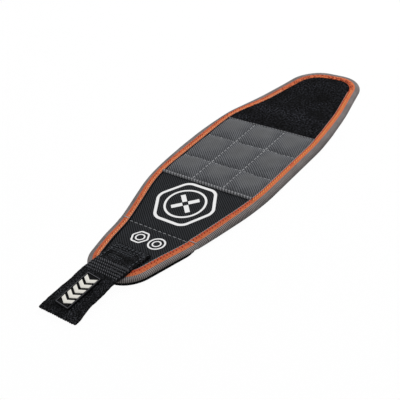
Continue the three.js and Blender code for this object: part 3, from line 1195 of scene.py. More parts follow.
@dataclass
class Roll:
    """A rolled edge of cloth across the band, with slanting folds round it."""

    covers: Covers
    name: str
    segment: Segment
    x: float
    half_width: float
    half_height: float
    ridge: float
    pitch: float
    lap: float = 0.4
    seat: float = 0.55  # share of its half height over the cover
    under: float = 0.75  # share of it in the lower half
    slant: float = 1.3
    waver: Span = (4.0, 0.4)
    sag: Span = (5.0, 0.18)

    COLUMNS, ROWS_PER_FOLD, CLOTH_WIDTH = 8, 5, 4.0

    def build(self) -> None:
        """Makes the roll."""
        band, bumps = self.covers.band, self.covers.bumps
        reach = band.outline.half_width(self.x, band.trim_inset - self.lap)
        base = band.cover_top + self.half_height * self.seat

        def place(across: Array, along: Array, up: Array) -> tuple[Array, Array]:
            """Places the roll's two halves."""
            bearing = math.pi * (1 - across)
            y = lerp(-reach, reach, along)
            station = np.full_like(y, self.x)
            turns = y / self.pitch + across * self.slant + bumps.at(y, -station, *self.waver)
            fold = self.ridge * np.abs(np.sin(math.pi * turns))
            x = station + (self.half_width + fold) * np.cos(bearing) + bumps.at(y, station, *self.sag)
            height = base + lerp(-self.under, 1.0, up) * (self.half_height + fold) * np.sin(bearing)
            return placed(x, y, height, y, across * self.CLOTH_WIDTH)

        rows = math.ceil(2 * reach / self.pitch * self.ROWS_PER_FOLD)
        self.segment.carry(block(self.name, self.COLUMNS, rows, place, HEM))


@dataclass
class Edging:
    """The sewn edge: ribbed binding folded round it, trim tape on top, and a thin cord inside the trim. The cord
    is pale with a painted highlight on the near side; a dark cord of painted shadow lies in the gap on the far
    side and round the loop's tip.
    """

    band: Band
    rib_pitch: float = 1.3
    rib_height: float = 0.24
    tape: float = 0.8
    rounding: float = 2.1
    flap_lap: float = 0.5
    rim: Drift = Drift(-95, -50, 0.8)
    trim_crown: float = 0.4
    stitch_pitch: float = 2.45
    stitch_slant: float = 0.8
    ridge_height: float = 0.1
    ridge_start: float = 0.3
    ridge_ease: float = 0.3
    shade_turnover: float = 12.0  # half the width at a tip over which the trim's painted shade and its paler side change sides
    cord_radius: float = 0.34
    cord_lift: float = 0.12
    cord_shift: float = 0.1
    cord_beading: float = 0.6  # share of its radius
    shade_radius: float = 0.6
    shade_shift: float = 0.25
    gap_end: float = 56.0  # station on the far side where the painted shadow in the gap ends
    rosy_start: float = 126.0  # station on the near side of the loop
    rosy_radius: float = 0.24
    rosy_shift: float = -0.5

    ARC_POINTS, BINDING_COLUMNS, BINDING_CLOTH = 7, 14, 9.8
    TRIM_COLUMNS, CORD_COLUMNS = 8, 6
    RIB_ROWS, TRIM_ROWS, CORD_ROWS = 3, 6, 4

    def runs(self, segment: Segment) -> dict[str, Span]:
        """Stretches of the edge in one length of the band.

        Args:
            segment: The length.

        Returns:
            First and last distance along the edge, by the name of the side, or by an empty name round a tip.
        """
        outline = self.band.outline
        whole = 2 * outline.half_run
        start, end = outline.run_at(segment.start), outline.run_at(segment.end)
        if segment.start < outline.front.tip:
            return {"": (-end, end)}
        if segment.end > outline.loop.tip:
            return {"": (start, whole - start)}
        return {"left": (start, end), "right": (whole - end, whole - start)}

    def contour(self) -> tuple[Array, Array, Array]:
        """Section of the folded binding, from its top flap round the edge to its bottom flap.

        Returns:
            Insets, heights and bearings of its outside, at even steps along it.
        """
        top, low, radius, quarter = self.band.binding_top, self.rib_height, self.rounding, self.ARC_POINTS
        bearing = np.radians([90, *np.linspace(90, 0, quarter), *np.linspace(0, -90, quarter), -90])
        centre = np.array([0, *[top - radius] * quarter, *[low + radius] * quarter, 0])
        inset = radius - radius * np.cos(bearing)
        height = centre + radius * np.sin(bearing)
        inset[[0, -1]] = self.band.core_inset + self.flap_lap
        height[[0, -1]] = top, low
        length = distances(inset, height)
        even = np.linspace(0, length[-1], self.BINDING_COLUMNS + 1)
        return tuple(np.interp(even, length, row) for row in (inset, height, bearing))

    def binding(self, name: str, run: Span) -> Piece:
        """A stretch of ribbed binding tape.

        Args:
            name: Name of the stretch.
            run: First and last distance along the edge.

        Returns:
            The tape.
        """
        band, contour = self.band, self.contour()

        def place(across: Array, along: Array, up: Array) -> tuple[Array, Array]:
            """Places the tape's two faces."""
            inset, height, bearing = (pick(row, across) for row in contour)
            distance = lerp(*run, along)
            ribs = self.rib_height * np.abs(np.sin(math.pi * distance / self.rib_pitch))
            push = lerp(-self.tape, ribs, up)
            x, y, edge_x = band.outline.edge(distance, inset - push * np.cos(bearing))
            lift = band.lift(edge_x)
            height = height + push * np.sin(bearing)
            height = lift + height * (band.binding_top + self.rim.at(edge_x) - lift) / band.binding_top
            return placed(x, y, height, distance, across * self.BINDING_CLOTH)

        rows = round((run[1] - run[0]) / self.rib_pitch * self.RIB_ROWS)
        return block(name, self.BINDING_COLUMNS, rows, place, BINDING)

    def slope(self, edge_x: Array, across: Array) -> Array:
        """Height under the trim, at stations of the edge and shares from its outer to its inner side."""
        return lerp(self.band.binding_top + self.rim.at(edge_x), self.band.cover_top, across)

    def trim(self, name: str, run: Span) -> Piece:
        """A stretch of trim tape with slanting ridges on a rounded back.

        Args:
            name: Name of the stretch.
            run: First and last distance along the edge.

        Returns:
            The tape.
        """
        band = self.band
        width = band.trim_inset - band.core_inset

        def place(across: Array, along: Array, up: Array) -> tuple[Array, Array]:
            """Places the tape's two faces."""
            distance = lerp(*run, along)
            x, y, edge_x = band.outline.edge(distance, lerp(band.core_inset, band.trim_inset, across))
            drawn = np.cos(2 * math.pi * (distance / self.stitch_pitch + across * self.stitch_slant))
            ridge = self.ridge_height * drawn * smoothstep((across - self.ridge_start) / self.ridge_ease)
            top = self.slope(edge_x, across) + crown(across) * (self.trim_crown + ridge)
            # On the far side the cloth map runs the other way, so that the painted shade stays on the half of the
            # trim that slopes towards +Y.
            far = smoothstep((y + self.shade_turnover) / (2 * self.shade_turnover))
            return placed(x, y, lerp(band.foam_top, top, up), distance, width * lerp(across, 1 - across, far))

        rows = round((run[1] - run[0]) / self.stitch_pitch * self.TRIM_ROWS)
        return block(name, self.TRIM_COLUMNS, rows, place, TRIM)

    def cord(self, name: str, run: Span, finish: Finish, size: float, shift: float) -> Piece:
        """A stretch of cord along the trim's inner edge.

        Args:
            name: Name of the stretch.
            run: First and last distance along the edge.
            finish: Finish of the cord.
            size: Radius of the cord.
            shift: How far it lies inwards of the trim's inner edge.

        Returns:
            The cord.
        """
        band = self.band
        beading = 0.0 if finish is SHADOW_CORD else self.cord_beading

        def place(across: Array, along: Array, up: Array) -> tuple[Array, Array]:
            """Places the cord's two halves."""
            distance, bearing = lerp(*run, along), math.pi * across
            radius = size * (1 + beading * np.cos(2 * math.pi * distance / self.stitch_pitch))
            x, y, _ = band.outline.edge(distance, band.trim_inset + shift - radius * np.cos(bearing))
            height = band.cover_top + self.cord_lift + lerp(-radius, radius, up) * np.sin(bearing)
            return placed(x, y, height, distance, across)

        rows = round((run[1] - run[0]) / self.stitch_pitch * self.CORD_ROWS)
        return block(name, self.CORD_COLUMNS, rows, place, finish)

    def build(self) -> None:
        """Makes every stretch for each length of the band and hides the frame's solids that it replaces."""
        for segment in self.band.segments:
            bodies = (segment.before, segment.after)
            for side, run in self.runs(segment).items():
                suffix = f"{segment.name}_{side}".rstrip("_")
                for layer, make in (("binding", self.binding), ("trim", self.trim)):
                    piece = make(f"{layer}_{suffix}", run)
                    segment.carry(piece)
                    nodes = (n for n in frame["nodes"] if layer in n and n.startswith(bodies))
                    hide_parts(*(n for n in nodes if not side or n.endswith((side, layer))))
                self.lay_cord(segment, suffix, run)

    def lay_cord(self, segment: Segment, suffix: str, run: Span) -> None:
        """Lays the cords of one stretch: pale with a painted highlight on the near side, rosy with a dark cord of
        painted shadow in the gap on the far side, dark painted shadow round the loop's tip, and rosy on the near
        side of the loop.

        Args:
            segment: Length of the band.
            suffix: Name of the stretch.
            run: First and last distance along the edge.
        """
        outline, whole = self.band.outline, 2 * self.band.outline.half_run
        rear, gap, rosy = (outline.run_at(x) for x in (self.band.pad_rear, self.gap_end, self.rosy_start))
        # The pale cord is a painted highlight; the dark cords are painted shadow in the gap beside the trim and
        # round the loop's tip.
        plan = (
            ("near", -rear, 0.0, SELVAGE_HIGHLIGHT_CORD, self.cord_radius, self.cord_shift),
            ("far", 0.0, gap, ROSY_CORD, self.rosy_radius, self.rosy_shift),
            ("gap", 0.0, gap, SHADOW_CORD, self.shade_radius, self.shade_shift),
            ("round", gap, whole - rosy, SHADOW_CORD, self.cord_radius, self.cord_shift),
            ("rosy", whole - rosy, whole - rear, ROSY_CORD, self.rosy_radius, self.cord_shift),
        )
        for name, first, last, finish, radius, shift in plan:
            for lap in (0.0, -whole):
                stretch = (max(run[0] + lap, first), min(run[1] + lap, last))
                if stretch[1] - stretch[0] > self.stitch_pitch:
                    segment.carry(self.cord(f"edge_cord_{suffix}_{name}", stretch, finish, radius, shift))


@dataclass
class WristSide:
    """The side that lies on the wrist: mesh lining, and the hook pad under the front."""

    band: Band
    grid: float = 1.6
    hook_overhang: float = 0.3
    hook_end: float = 3.0
    hook_taper: float = 1.2
    taper_length: float = 6.0
    hook_margin: float = 1.5
    end_margin: float = 1.0
    hook_pitch: float = 2.2
    hook_height: float = 0.75
    stem: float = 0.62
    point: float = 0.75
    point_shift: float = 0.35
    point_turn: float = 78.0
    stem_radii: Span = (0.16, 0.2)
    point_radii: Span = (0.16, 0.09)

    def sheet(self, name: str, ends: Span, inset: float, low: Callable[[Array], Array], thickness: float,
              finish: Finish, taper: float = 0.0) -> Piece:
        """A layer with the outline's shape.

        Args:
            name: Name of the layer.
            ends: First and last station.
            inset: Inset of its edge.
            low: Gives the height of its underside at stations.
            thickness: Its thickness.
            finish: Its finish.
            taper: How far its sides draw in at its last station.

        Returns:
            The layer.
        """
        outline = self.band.outline
        stations = outline.rows(*ends, self.grid, self.band.folds, inset)

        def place(across: Array, along: Array, up: Array) -> tuple[Array, Array]:
            """Places the layer's two faces."""
            x = pick(stations, along)
            drawn_in = taper * smoothstep(1 - (stations[-1] - x) / self.taper_length)
            y = (2 * across - 1) * (outline.half_width(x, inset) - drawn_in)
            return placed(x, y, low(x) + thickness * up, x, y)

        return block(name, math.ceil(outline.width / self.grid), len(stations) - 1, place, finish)

    def build(self) -> None:
        """Makes the lining and the hook pad."""
        band = self.band
        for segment in band.segments:
            piece = self.sheet(f"lining_{segment.name}", (segment.start, segment.end), band.core_inset,
                               band.lift, band.lining_top, LINING)
            segment.carry(piece)
            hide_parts(f"{segment.before}_lining", f"{segment.after}_lining")
        self.build_hook_pad()

    def build_hook_pad(self) -> None:
        """Makes the hook pad's backing and its rows of small hooks."""
        band, segment, base = self.band, self.band.segments[0], self.hook_height
        end = band.seam - self.hook_end
        inset = -self.hook_overhang - band.outline.step_out
        pad = self.sheet("hook_backing", (-math.inf, end), inset, lambda x: np.full_like(x, base),
                         band.hook_top - base, HOOK, self.hook_taper)
        segment.carry(pad)
        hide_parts("hook_pad")
        bm = new_shape()
        first = band.outline.front.tip + self.hook_margin
        for row, x in enumerate(np.arange(first, end - self.end_margin, self.hook_pitch)):
            half = band.outline.half_width(x, self.hook_margin)
            for y in np.arange(-half + row % 2 * self.hook_pitch / 2, half, self.hook_pitch):
                self.add_hook(bm, Vector((x, y, base)))
        segment.carry(finish_piece(bm, "hooks", HOOK))

    def add_hook(self, bm: Shape, root: Vector) -> None:
        """Adds one small hook that hangs from its root: a stem and a bent point.

        Args:
            bm: Shape that gets the hook.
            root: Where it hangs.
        """
        stem, point = self.hook_height * self.stem, self.hook_height * self.point
        down = Matrix.Translation(root - Vector((0, 0, stem / 2)))
        bent = (Matrix.Translation(root + Vector((point * self.point_shift, 0, -stem)))
                @ Matrix.Rotation(math.radians(self.point_turn), 4, "Y"))
        for matrix, depth, radii in ((down, stem, self.stem_radii), (bent, point, self.point_radii)):
            add_cone(bm, 4, radii, depth, matrix)


@dataclass
class PullTab:
    """The pull tab: one length of webbing folded double and sewn to the front."""

    band: Band
    width: float = 31.8
    thickness: float = 2.3
    sink: float = 0.5
    droop: float = 4.7
    skew: float = -0.086
    shift: float = 1.5  # place of the label's station across the band
    flare: float = 0.7
    waist: Drift = Drift(-194.5, -176, 2.9)
    ribs: int = 17
    weft: float = 1.7
    rib_height: float = 0.36
    rib_share: float = 0.4
    weft_share: float = 0.15
    rough: Span = (1.6, 0.45)
    low_share: float = 0.8  # sinks the relief, so that it stays within the webbing
    fold_reach: float = 2.2  # of the fuller ribs at the fold
    selvage: float = 0.35
    selvage_width: float = 0.1
    layer_gap: float = 0.05
    waver: Span = (8.0, 0.3)
    fine_waver: Span = (2.2, 0.15)
    bend: float = 4.0
    bumps: Unevenness = Unevenness(31)

    COLUMNS_PER_RIB, ROWS_PER_WEFT = 4, 4
    WAVER_ROW, FINE_ROW = 40.0, 20.0

    def __post_init__(self) -> None:
        """Reads the tab's length and the label's place from the frame."""
        self.hinge = self.band.tab_hinge
        self.face = self.hinge.z - self.sink
        self.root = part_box("tab_root")[1].x / MM
        self.free = self.hinge.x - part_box("tab_grip")[0].x / MM
        self.leg = self.root - self.hinge.x + self.free - self.thickness / 2
        self.slope = -math.asin(self.droop / self.free)
        low, high = (Vector(corner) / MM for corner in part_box("tab_label"))
        self.label_size, self.label_place = high - low, (low + high) / 2

    def across(self, x: Array, share: Array) -> Array:
        """Places across the band, at stations and shares from the near to the far edge."""
        middle = self.shift + self.skew * (x - self.label_place.x)
        return middle + lerp(self.waist.at(x) - self.width / 2 - self.flare, self.width / 2, share)

    def path(self, distance: Array) -> tuple[Array, Array, Array]:
        """Side view of the folded webbing, from the root's under layer round the fold to its upper layer.

        Args:
            distance: Distances along the webbing.

        Returns:
            Stations, heights below the hinge and bearings of the outward face.
        """
        radius = self.thickness / 4
        turn = np.clip((distance - self.leg) / radius, 0, math.pi)
        past = np.maximum(distance - self.leg - math.pi * radius, 0)
        along = np.minimum(distance, self.leg) - past
        x = self.root - along - radius * np.sin(turn)
        z = -self.sink - self.thickness / 2 - radius * np.cos(turn)
        return x, z, turn - math.pi / 2

    def bent(self, x: Array, z: Array) -> tuple[Array, Array]:
        """Lets the free part droop from the hinge.

        Args:
            x: Stations of the straight tab.
            z: Heights below the hinge.

        Returns:
            Stations and heights.
        """
        angle = self.slope * smoothstep((self.hinge.x - x) / self.bend)
        arm, sine, cosine = x - self.hinge.x, np.sin(angle), np.cos(angle)
        return self.hinge.x + arm * cosine + z * sine, self.hinge.z - arm * sine + z * cosine

    def build(self) -> None:
        """Makes the webbing, which bends at the body's tip."""
        length = 2 * self.leg + math.pi * self.thickness / 4
        tape = self.thickness / 2

        def place(across: Array, along: Array, up: Array) -> tuple[Array, Array]:
            """Places the webbing's two faces."""
            distance = lerp(0.0, length, along)
            x, z, bearing = self.path(distance)
            rib = np.abs(np.sin(math.pi * self.ribs * across))
            groove = np.abs(np.sin(math.pi * distance / self.weft))
            rough = self.bumps.at(distance, across * self.width, *self.rough)
            fold = hump(distance - length / 2, self.fold_reach)
            relief = (self.rib_share + fold) * rib + self.weft_share * groove + rough - self.low_share - fold
            edge, hand = np.abs(2 * across - 1), np.sign(across - 0.5)
            selvage = 1 - self.selvage * smoothstep((edge - 1 + self.selvage_width) / self.selvage_width)
            push = lerp(self.layer_gap - tape / 2, tape / 2 + self.rib_height * relief, up) * selvage
            x, height = self.bent(x - push * np.cos(bearing), z + push * np.sin(bearing))
            waver = (self.bumps.at(x, hand * self.WAVER_ROW, *self.waver)
                     + self.bumps.at(x, hand * self.FINE_ROW, *self.fine_waver))
            y = self.across(x, across) + hand * edge * waver
            return placed(x, y, height, distance, across * self.width)

        rows = round(length / self.weft * self.ROWS_PER_WEFT)
        strap = block("tab_webbing", self.COLUMNS_PER_RIB * self.ribs, rows, place, WEBBING)
        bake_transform(strap)
        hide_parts("tab_root", "tab_grip")


@dataclass
class Label:
    """The rubber label on the pull tab: a plate with a rim painted paler as a painted highlight, and raised
    chevrons in its dish.
    """

    tab: PullTab
    turn: float = -5.5
    lift: float = 0.05
    thickness: float = 1.1
    corner: float = 0.9
    edge: float = 0.22
    border: float = 0.5
    rim: float = 0.4
    wall: float = 0.25
    dish: float = 0.45
    chevrons: int = 5
    end_margin: float = 2.7
    side_margin: float = 1.8
    arm: float = 0.6  # share of the chevrons' spacing
    sweep: float = 5.2
    row_shift: float = 1.3  # puts the swept row in the middle
    chevron_edge: float = 0.18

    FACING_UP = 0.99

    def seat(self, bm: Shape) -> None:
        """Moves a shape from the origin to the drooping tab's upper face.

        Args:
            bm: The shape.
        """
        tab = self.tab
        hang = Matrix.Translation(tab.hinge) @ Matrix.Rotation(tab.slope, 4, "Y")
        middle = (tab.label_place.x - tab.hinge.x, tab.label_place.y, self.lift - tab.sink)
        turn = Matrix.Rotation(math.radians(self.turn), 4, "Z")
        bmesh.ops.transform(bm, matrix=hang @ Matrix.Translation(middle) @ turn, verts=bm.verts)

    def upper(self, bm: Shape) -> list[bmesh.types.BMFace]:
        """Faces that look straight up."""
        return [face for face in bm.faces if face.normal.z > self.FACING_UP]

    def plate(self) -> Piece:
        """The plate with its rim.

        Returns:
            The plate, which rides on nothing yet.
        """
        length, width, _ = self.tab.label_size
        bm = new_shape()
        raised = Matrix.Translation((0, 0, self.thickness / 2))
        bmesh.ops.create_cube(bm, size=1, calc_uvs=True,
                              matrix=raised @ Matrix.Diagonal((length, width, self.thickness, 1)))
        upright = [e for e in bm.edges if abs(e.verts[0].co.z - e.verts[1].co.z) > self.thickness / 2]
        bevel(bm, upright, self.corner, 4)
        bevel(bm, [edge for face in self.upper(bm) for edge in face.edges], self.edge, 2)
        top = self.upper(bm)
        _, rim, _ = (
            bmesh.ops.inset_region(bm, faces=top, thickness=thickness, depth=0.0, use_even_offset=True)["faces"]
            for thickness in (self.border, self.rim, self.wall))
        bmesh.ops.translate(bm, vec=(0, 0, -self.dish), verts=list({v for face in top for v in face.verts}))
        # The rim's faces get the paler rubber: a painted highlight.
        for face in rim:
            face.material_index = 1
        self.seat(bm)
        plate = finish_piece(bm, "label_plate", RUBBER)
        plate.data.materials.append(material_of(RIM_HIGHLIGHT_RUBBER))
        return plate

    def row(self) -> Piece:
        """The raised chevrons.

        Returns:
            The chevrons, which ride on nothing yet.
        """
        length, width, _ = self.tab.label_size
        bm = new_shape()
        floor = self.thickness - self.dish
        pitch = (length - 2 * self.end_margin) / self.chevrons
        for place in np.arange(self.chevrons) - (self.chevrons - 1) / 2:
            corners = bmesh.ops.create_grid(bm, x_segments=1, y_segments=2, size=0.5, calc_uvs=True)["verts"]
            for vert in corners:
                vert.co.x = vert.co.x * pitch * self.arm + abs(vert.co.y) * self.sweep
                vert.co.y *= width - 2 * self.side_margin
            bmesh.ops.translate(bm, vec=(place * pitch - self.row_shift, 0, floor), verts=corners)
        bmesh.ops.translate(bm, vec=(0, 0, self.dish), verts=raise_faces(bm))
        high = [e for e in bm.edges if all(vert.co.z > floor + self.dish / 2 for vert in e.verts)]
        bevel(bm, [e for e in high if abs(e.calc_face_angle(0)) > SHARP_ANGLE], self.chevron_edge, 2)
        self.seat(bm)
        return finish_piece(bm, "label_chevrons", PALE_RUBBER)

    def build(self) -> None:
        """Makes the plate and the chevrons."""
        plate = self.plate()
        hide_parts("tab_label")
        for piece in (plate, self.row()):
            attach(piece, "tab")


@dataclass(frozen=True)
class Stitch:
    """One visible stitch."""

    place: Vector
    heading: float
    length: float
    thickness: float


@dataclass(frozen=True)
class Sewing:
    """How a straight line is sewn."""

    length: float
    gap: float
    thickness: float


@dataclass(frozen=True)
class TrimRow:
    """A row of slanting stitches along the trim."""

    name: str
    finish: Finish
    area: Area
    across: float  # share of the trim's width, from its outer edge
    length: float
    thickness: float
    shift: float  # share of the stitches' spacing
    share: float  # of the stitches that show, while the others lie in the weave


TRIM_ROWS = (
    TrimRow("trim_thread", ORANGE_THREAD, Area.FAR, 0.68, 1.9, 0.7, 0.0, 0.95),
    TrimRow("near_thread", GOLD_THREAD, Area.NEAR_PAD, 0.56, 2.8, 0.75, 0.0, 0.95),
    TrimRow("near_edge", EMBER_THREAD, Area.NEAR_PAD, 0.85, 2.3, 0.8, 0.5, 1.0),
    TrimRow("trim_knots", RED_THREAD, Area.NEAR_FRONT, 0.62, 1.4, 0.7, 0.5, 0.8),
    TrimRow("trim_edge_knots", EMBER_THREAD, Area.NEAR_FRONT, 0.83, 2.4, 1.1, 0.1, 1.0),
    TrimRow("trim_dots", RED_THREAD, Area.NEAR_FRONT, 0.3, 0.9, 0.6, 0.3, 0.7),
    TrimRow("far_blush", RED_THREAD, Area.FAR_PAD, 0.26, 1.4, 0.6, 0.6, 0.6),
    TrimRow("trim_blush", RED_THREAD, Area.FAR, 0.42, 1.2, 0.6, 0.2, 0.45),
    TrimRow("tip_knots", RED_THREAD, Area.TIP, 0.72, 2.2, 0.8, 0.0, 0.5),
    TrimRow("tip_dots", RED_THREAD, Area.TIP, 0.46, 1.8, 0.7, 0.4, 0.4),
    TrimRow("loop_marks", ROSY_THREAD, Area.FAR_LOOP, 0.95, 2.4, 0.6, 0.2, 0.6),
)


@dataclass
class Stitching:
    """All visible thread."""

    band: Band
    covers: Covers
    edging: Edging
    tab: PullTab
    lengthwise: Sewing = Sewing(3.0, 0.9, 0.6)
    crosswise: Sewing = Sewing(2.7, 0.9, 0.45)
    quilt_lift: float = 0.12
    quilt_end: float = 0.6
    cross_margin: float = 0.5
    dashes: Sewing = Sewing(3.3, 1.1, 0.55)
    dash_lift: float = 0.2
    tie_lap: float = 1.2
    tie_thickness: float = 0.9
    trim_slant: float = 0.5
    trim_lift: float = 0.02
    tip_starts: Span = (104.0, 126.0)  # on the far and on the near side
    mark_ends: Span = (52.0, 112.0)  # on the far side of the loop
    bars: tuple[Span, ...] = (  # place behind the hinge, and length
        (10.9, 3.2), (8.2, 2.0), (5.6, 2.4), (3.1, 2.4), (0.6, 2.0))
    bar_thickness: float = 0.65
    dash: Span = (2.3, 0.5)
    dash_rows: tuple[RootRow, ...] = ((1.5, 0.04, 0.96, 10), (4.4, 0.04, 0.96, 10))
    dot: Span = (1.0, 0.5)
    dot_heading: float = 0.6
    dot_rows: tuple[RootRow, ...] = (
        (6.4, 0.3, 0.96, 18), (8.0, 0.3, 0.96, 18), (12.4, 0.45, 0.8, 9), (13.9, 0.45, 0.8, 9))
    box: Sewing = Sewing(2.2, 0.9, 0.7)
    box_margin: float = 2.6
    box_end: float = 12.0
    box_sides: Span = (0.07, 0.93)

    def line(self, start: Span, end: Span, sewing: Sewing, height: Callable[[Array, Array], Array],
             waver: Callable[[Array], Array] | None = None) -> list[Stitch]:
        """Stitches along a straight line.

        Args:
            start: First point.
            end: Last point.
            sewing: How it is sewn.
            height: Gives the height of the cloth at points.
            waver: Gives how far the stitches lie off the line along the band, at places across.

        Returns:
            The stitches.
        """
        first, last = Vector(start), Vector(end)
        way = last - first
        count = max(1, int((way.length + sewing.gap) / (sewing.length + sewing.gap)))
        shares = (np.arange(count) + 0.5) / count
        x, y = lerp(first.x, last.x, shares), lerp(first.y, last.y, shares)
        if waver:
            x = x + waver(y)
        heading = math.atan2(way.y, way.x)
        return [Stitch(Vector(p), heading, sewing.length, sewing.thickness) for p in zip(x, y, height(x, y))]

    def sew(self, name: str, stitches: list[Stitch], finish: Finish) -> None:
        """Makes stitches as low, rounded grains of thread, one piece for each length of the band.

        Args:
            name: Name of the row or seam.
            stitches: Its stitches.
            finish: Finish of the thread.
        """
        for segment in self.band.segments:
            mine = [s for s in stitches if segment.start <= s.place.x < segment.end]
            if not mine:
                continue
            bm = new_shape()
            for stitch in mine:
                size = Matrix.Diagonal((stitch.thickness / 2, stitch.thickness / 2, stitch.length / 2, 1))
                lay = Matrix.Rotation(stitch.heading, 4, "Z") @ Matrix.Rotation(math.pi / 2, 4, "Y")
                bmesh.ops.create_uvsphere(bm, u_segments=6, v_segments=5, radius=1, calc_uvs=True,
                                          matrix=Matrix.Translation(stitch.place) @ lay @ size)
            segment.carry(finish_piece(bm, f"{name}_{segment.name}", finish))

    def on_cloth(self, cloth: Cloth, lift: float) -> Callable[[Array, Array], Array]:
        """Height of thread that lies on a cover."""
        return lambda x, y: self.covers.top(x, y, cloth) + lift

    def quilt(self) -> list[Stitch]:
        """Thread along the quilt's seams.

        Returns:
            The stitches.
        """
        band, quilt = self.band, self.on_cloth(Cloth.QUILT, self.quilt_lift)
        start, end = band.pad_front + band.hem_width, band.pad_rear - self.quilt_end
        found = []
        for y in (-band.column_width / 2, band.column_width / 2):
            found += self.line((start, y), (end, y), self.lengthwise, quilt)
        for x in (band.row_front, band.row_rear):
            reach = band.outline.half_width(x, band.cover_inset + self.cross_margin)
            found += self.line((x, -reach), (x, reach), self.crosswise, quilt, self.covers.waver)
        return found

    def dashed_seam(self) -> list[Stitch]:
        """The dashed seam across the front, and its longer stitches over the trim.

        Returns:
            The stitches.
        """
        band, seam = self.band, self.band.seam
        reach = band.outline.half_width(seam, band.cover_inset)
        nylon = self.on_cloth(Cloth.NYLON, self.dash_lift)
        found = self.line((seam, -reach), (seam, reach), self.dashes, nylon)
        run = band.outline.run_at(seam)
        middle = (band.core_inset + band.trim_inset) / 2
        x, y, edge_x = band.outline.edge(np.array([run, -run]), np.full(2, middle))
        top = self.edging.slope(edge_x, 0.5) + self.edging.trim_crown
        length = band.trim_width + self.tie_lap
        return found + [Stitch(Vector(p), math.pi / 2, length, self.tie_thickness) for p in zip(x, y, top)]

    def spans(self, area: Area) -> tuple[Span, Span]:
        """First and last station of an area of the trim, on its far and on its near side."""
        pad, (far, near), end, none = self.band.pad_front, self.tip_starts, math.inf, (0.0, 0.0)
        return {
            Area.FAR: ((-end, far), none),
            Area.FAR_PAD: ((pad, end), none),
            Area.FAR_LOOP: (self.mark_ends, none),
            Area.NEAR_FRONT: (none, (-end, pad)),
            Area.NEAR_PAD: (none, (pad, near)),
            Area.TIP: ((far, end), (near, end)),
        }[area]

    def trim_stitches(self, row: TrimRow) -> list[Stitch]:
        """Slanting stitches of one row along the trim.

        Args:
            row: The row.

        Returns:
            The stitches that show.
        """
        band, pitch = self.band, self.edging.stitch_pitch
        runs = np.arange(row.shift * pitch, 2 * band.outline.half_run, pitch)
        runs = runs[np.random.default_rng(round(100 * row.across)).random(len(runs)) < row.share]
        middle = np.full_like(runs, lerp(band.core_inset, band.trim_inset, row.across))
        x, y, edge_x = band.outline.edge(runs, middle)
        ahead_x, ahead_y, _ = band.outline.edge(runs + pitch / 5, middle)
        heading = np.arctan2(ahead_y - y, ahead_x - x) + self.trim_slant
        back = self.edging.trim_crown * crown(row.across) + self.trim_lift
        (low, high), (near_low, near_high) = self.spans(row.area)
        shown = np.where(y > 0, (x > low) & (x < high), (x > near_low) & (x < near_high))
        places = np.stack([x, y, self.edging.slope(edge_x, row.across) + back], axis=1)
        return [Stitch(Vector(places[i]), heading[i], row.length, row.thickness) for i in np.flatnonzero(shown)]

    def tab_row(self, x: float, shares: Array, heading: float, length: float, thickness: float) -> list[Stitch]:
        """A row of stitches across the pull tab, at a station and at shares of the tab's width."""
        places = (Vector((x, y, self.tab.face)) for y in self.tab.across(np.full_like(shares, x), shares))
        return [Stitch(place, heading, length, thickness) for place in places]

    def tab_bars(self) -> list[Stitch]:
        """Slanting bars of thread in rows, where the tab crosses the body's tip."""
        shares = (np.arange(self.tab.ribs) + 0.5) / self.tab.ribs
        return [bar for behind, length in self.bars for bar in self.tab_row(
            self.tab.hinge.x + behind, shares, math.pi / 4, length, self.bar_thickness)]

    def tab_root(self) -> list[Stitch]:
        """The box sewn on the tab's root, with rows of dashes along its end and dots further in.

        Returns:
            The stitches.
        """
        tab = self.tab
        ends = (tab.root - self.box_margin, tab.hinge.x + self.box_end)
        near, far = ([(x, tab.across(x, share)) for x in ends] for share in self.box_sides)
        found = []
        for first, last in ((near[0], far[0]), near, far):
            found += self.line(first, last, self.box, lambda x, y: np.full_like(x, tab.face))
        rows = ((self.dash_rows, math.pi / 2, self.dash), (self.dot_rows, self.dot_heading, self.dot))
        for places, heading, size in rows:
            for before, *shares in places:
                found += self.tab_row(tab.root - before, np.linspace(*shares), heading, *size)
        return found

    def build(self) -> None:
        """Sews everything."""
        self.sew("quilt_thread", self.quilt(), GREY_THREAD)
        self.sew("seam_thread", self.dashed_seam(), DULL_THREAD)
        for row in TRIM_ROWS:
            self.sew(row.name, self.trim_stitches(row), row.finish)
        self.sew("tab_bars", self.tab_bars(), BAR_THREAD)
        self.sew("tab_thread", self.tab_root(), BLACK_THREAD)


@dataclass(frozen=True)
class Ring:
    """A flat printed ring."""

    radius: float
    line: float
    sides: int
    rounding: float = 0.0

    def add(self, bm: Shape, centre: Span) -> None:
        """Adds the ring to a flat shape.

        Args:
            bm: The shape.
            centre: Middle of the ring.
        """
        before = set(bm.faces)
        corners = bmesh.ops.create_circle(
            bm, cap_ends=True, segments=self.sides, radius=self.radius, calc_uvs=True,
            matrix=Matrix.Translation((*centre, 0)))["verts"]
        if self.rounding:
            bevel(bm, corners, self.rounding, 8, "VERTICES")
        inner = [face for face in bm.faces if face not in before]
        bmesh.ops.inset_region(bm, faces=inner, thickness=self.line, depth=0, use_boundary=True,
                               use_even_offset=True)
        bmesh.ops.delete(bm, geom=inner, context="FACES")


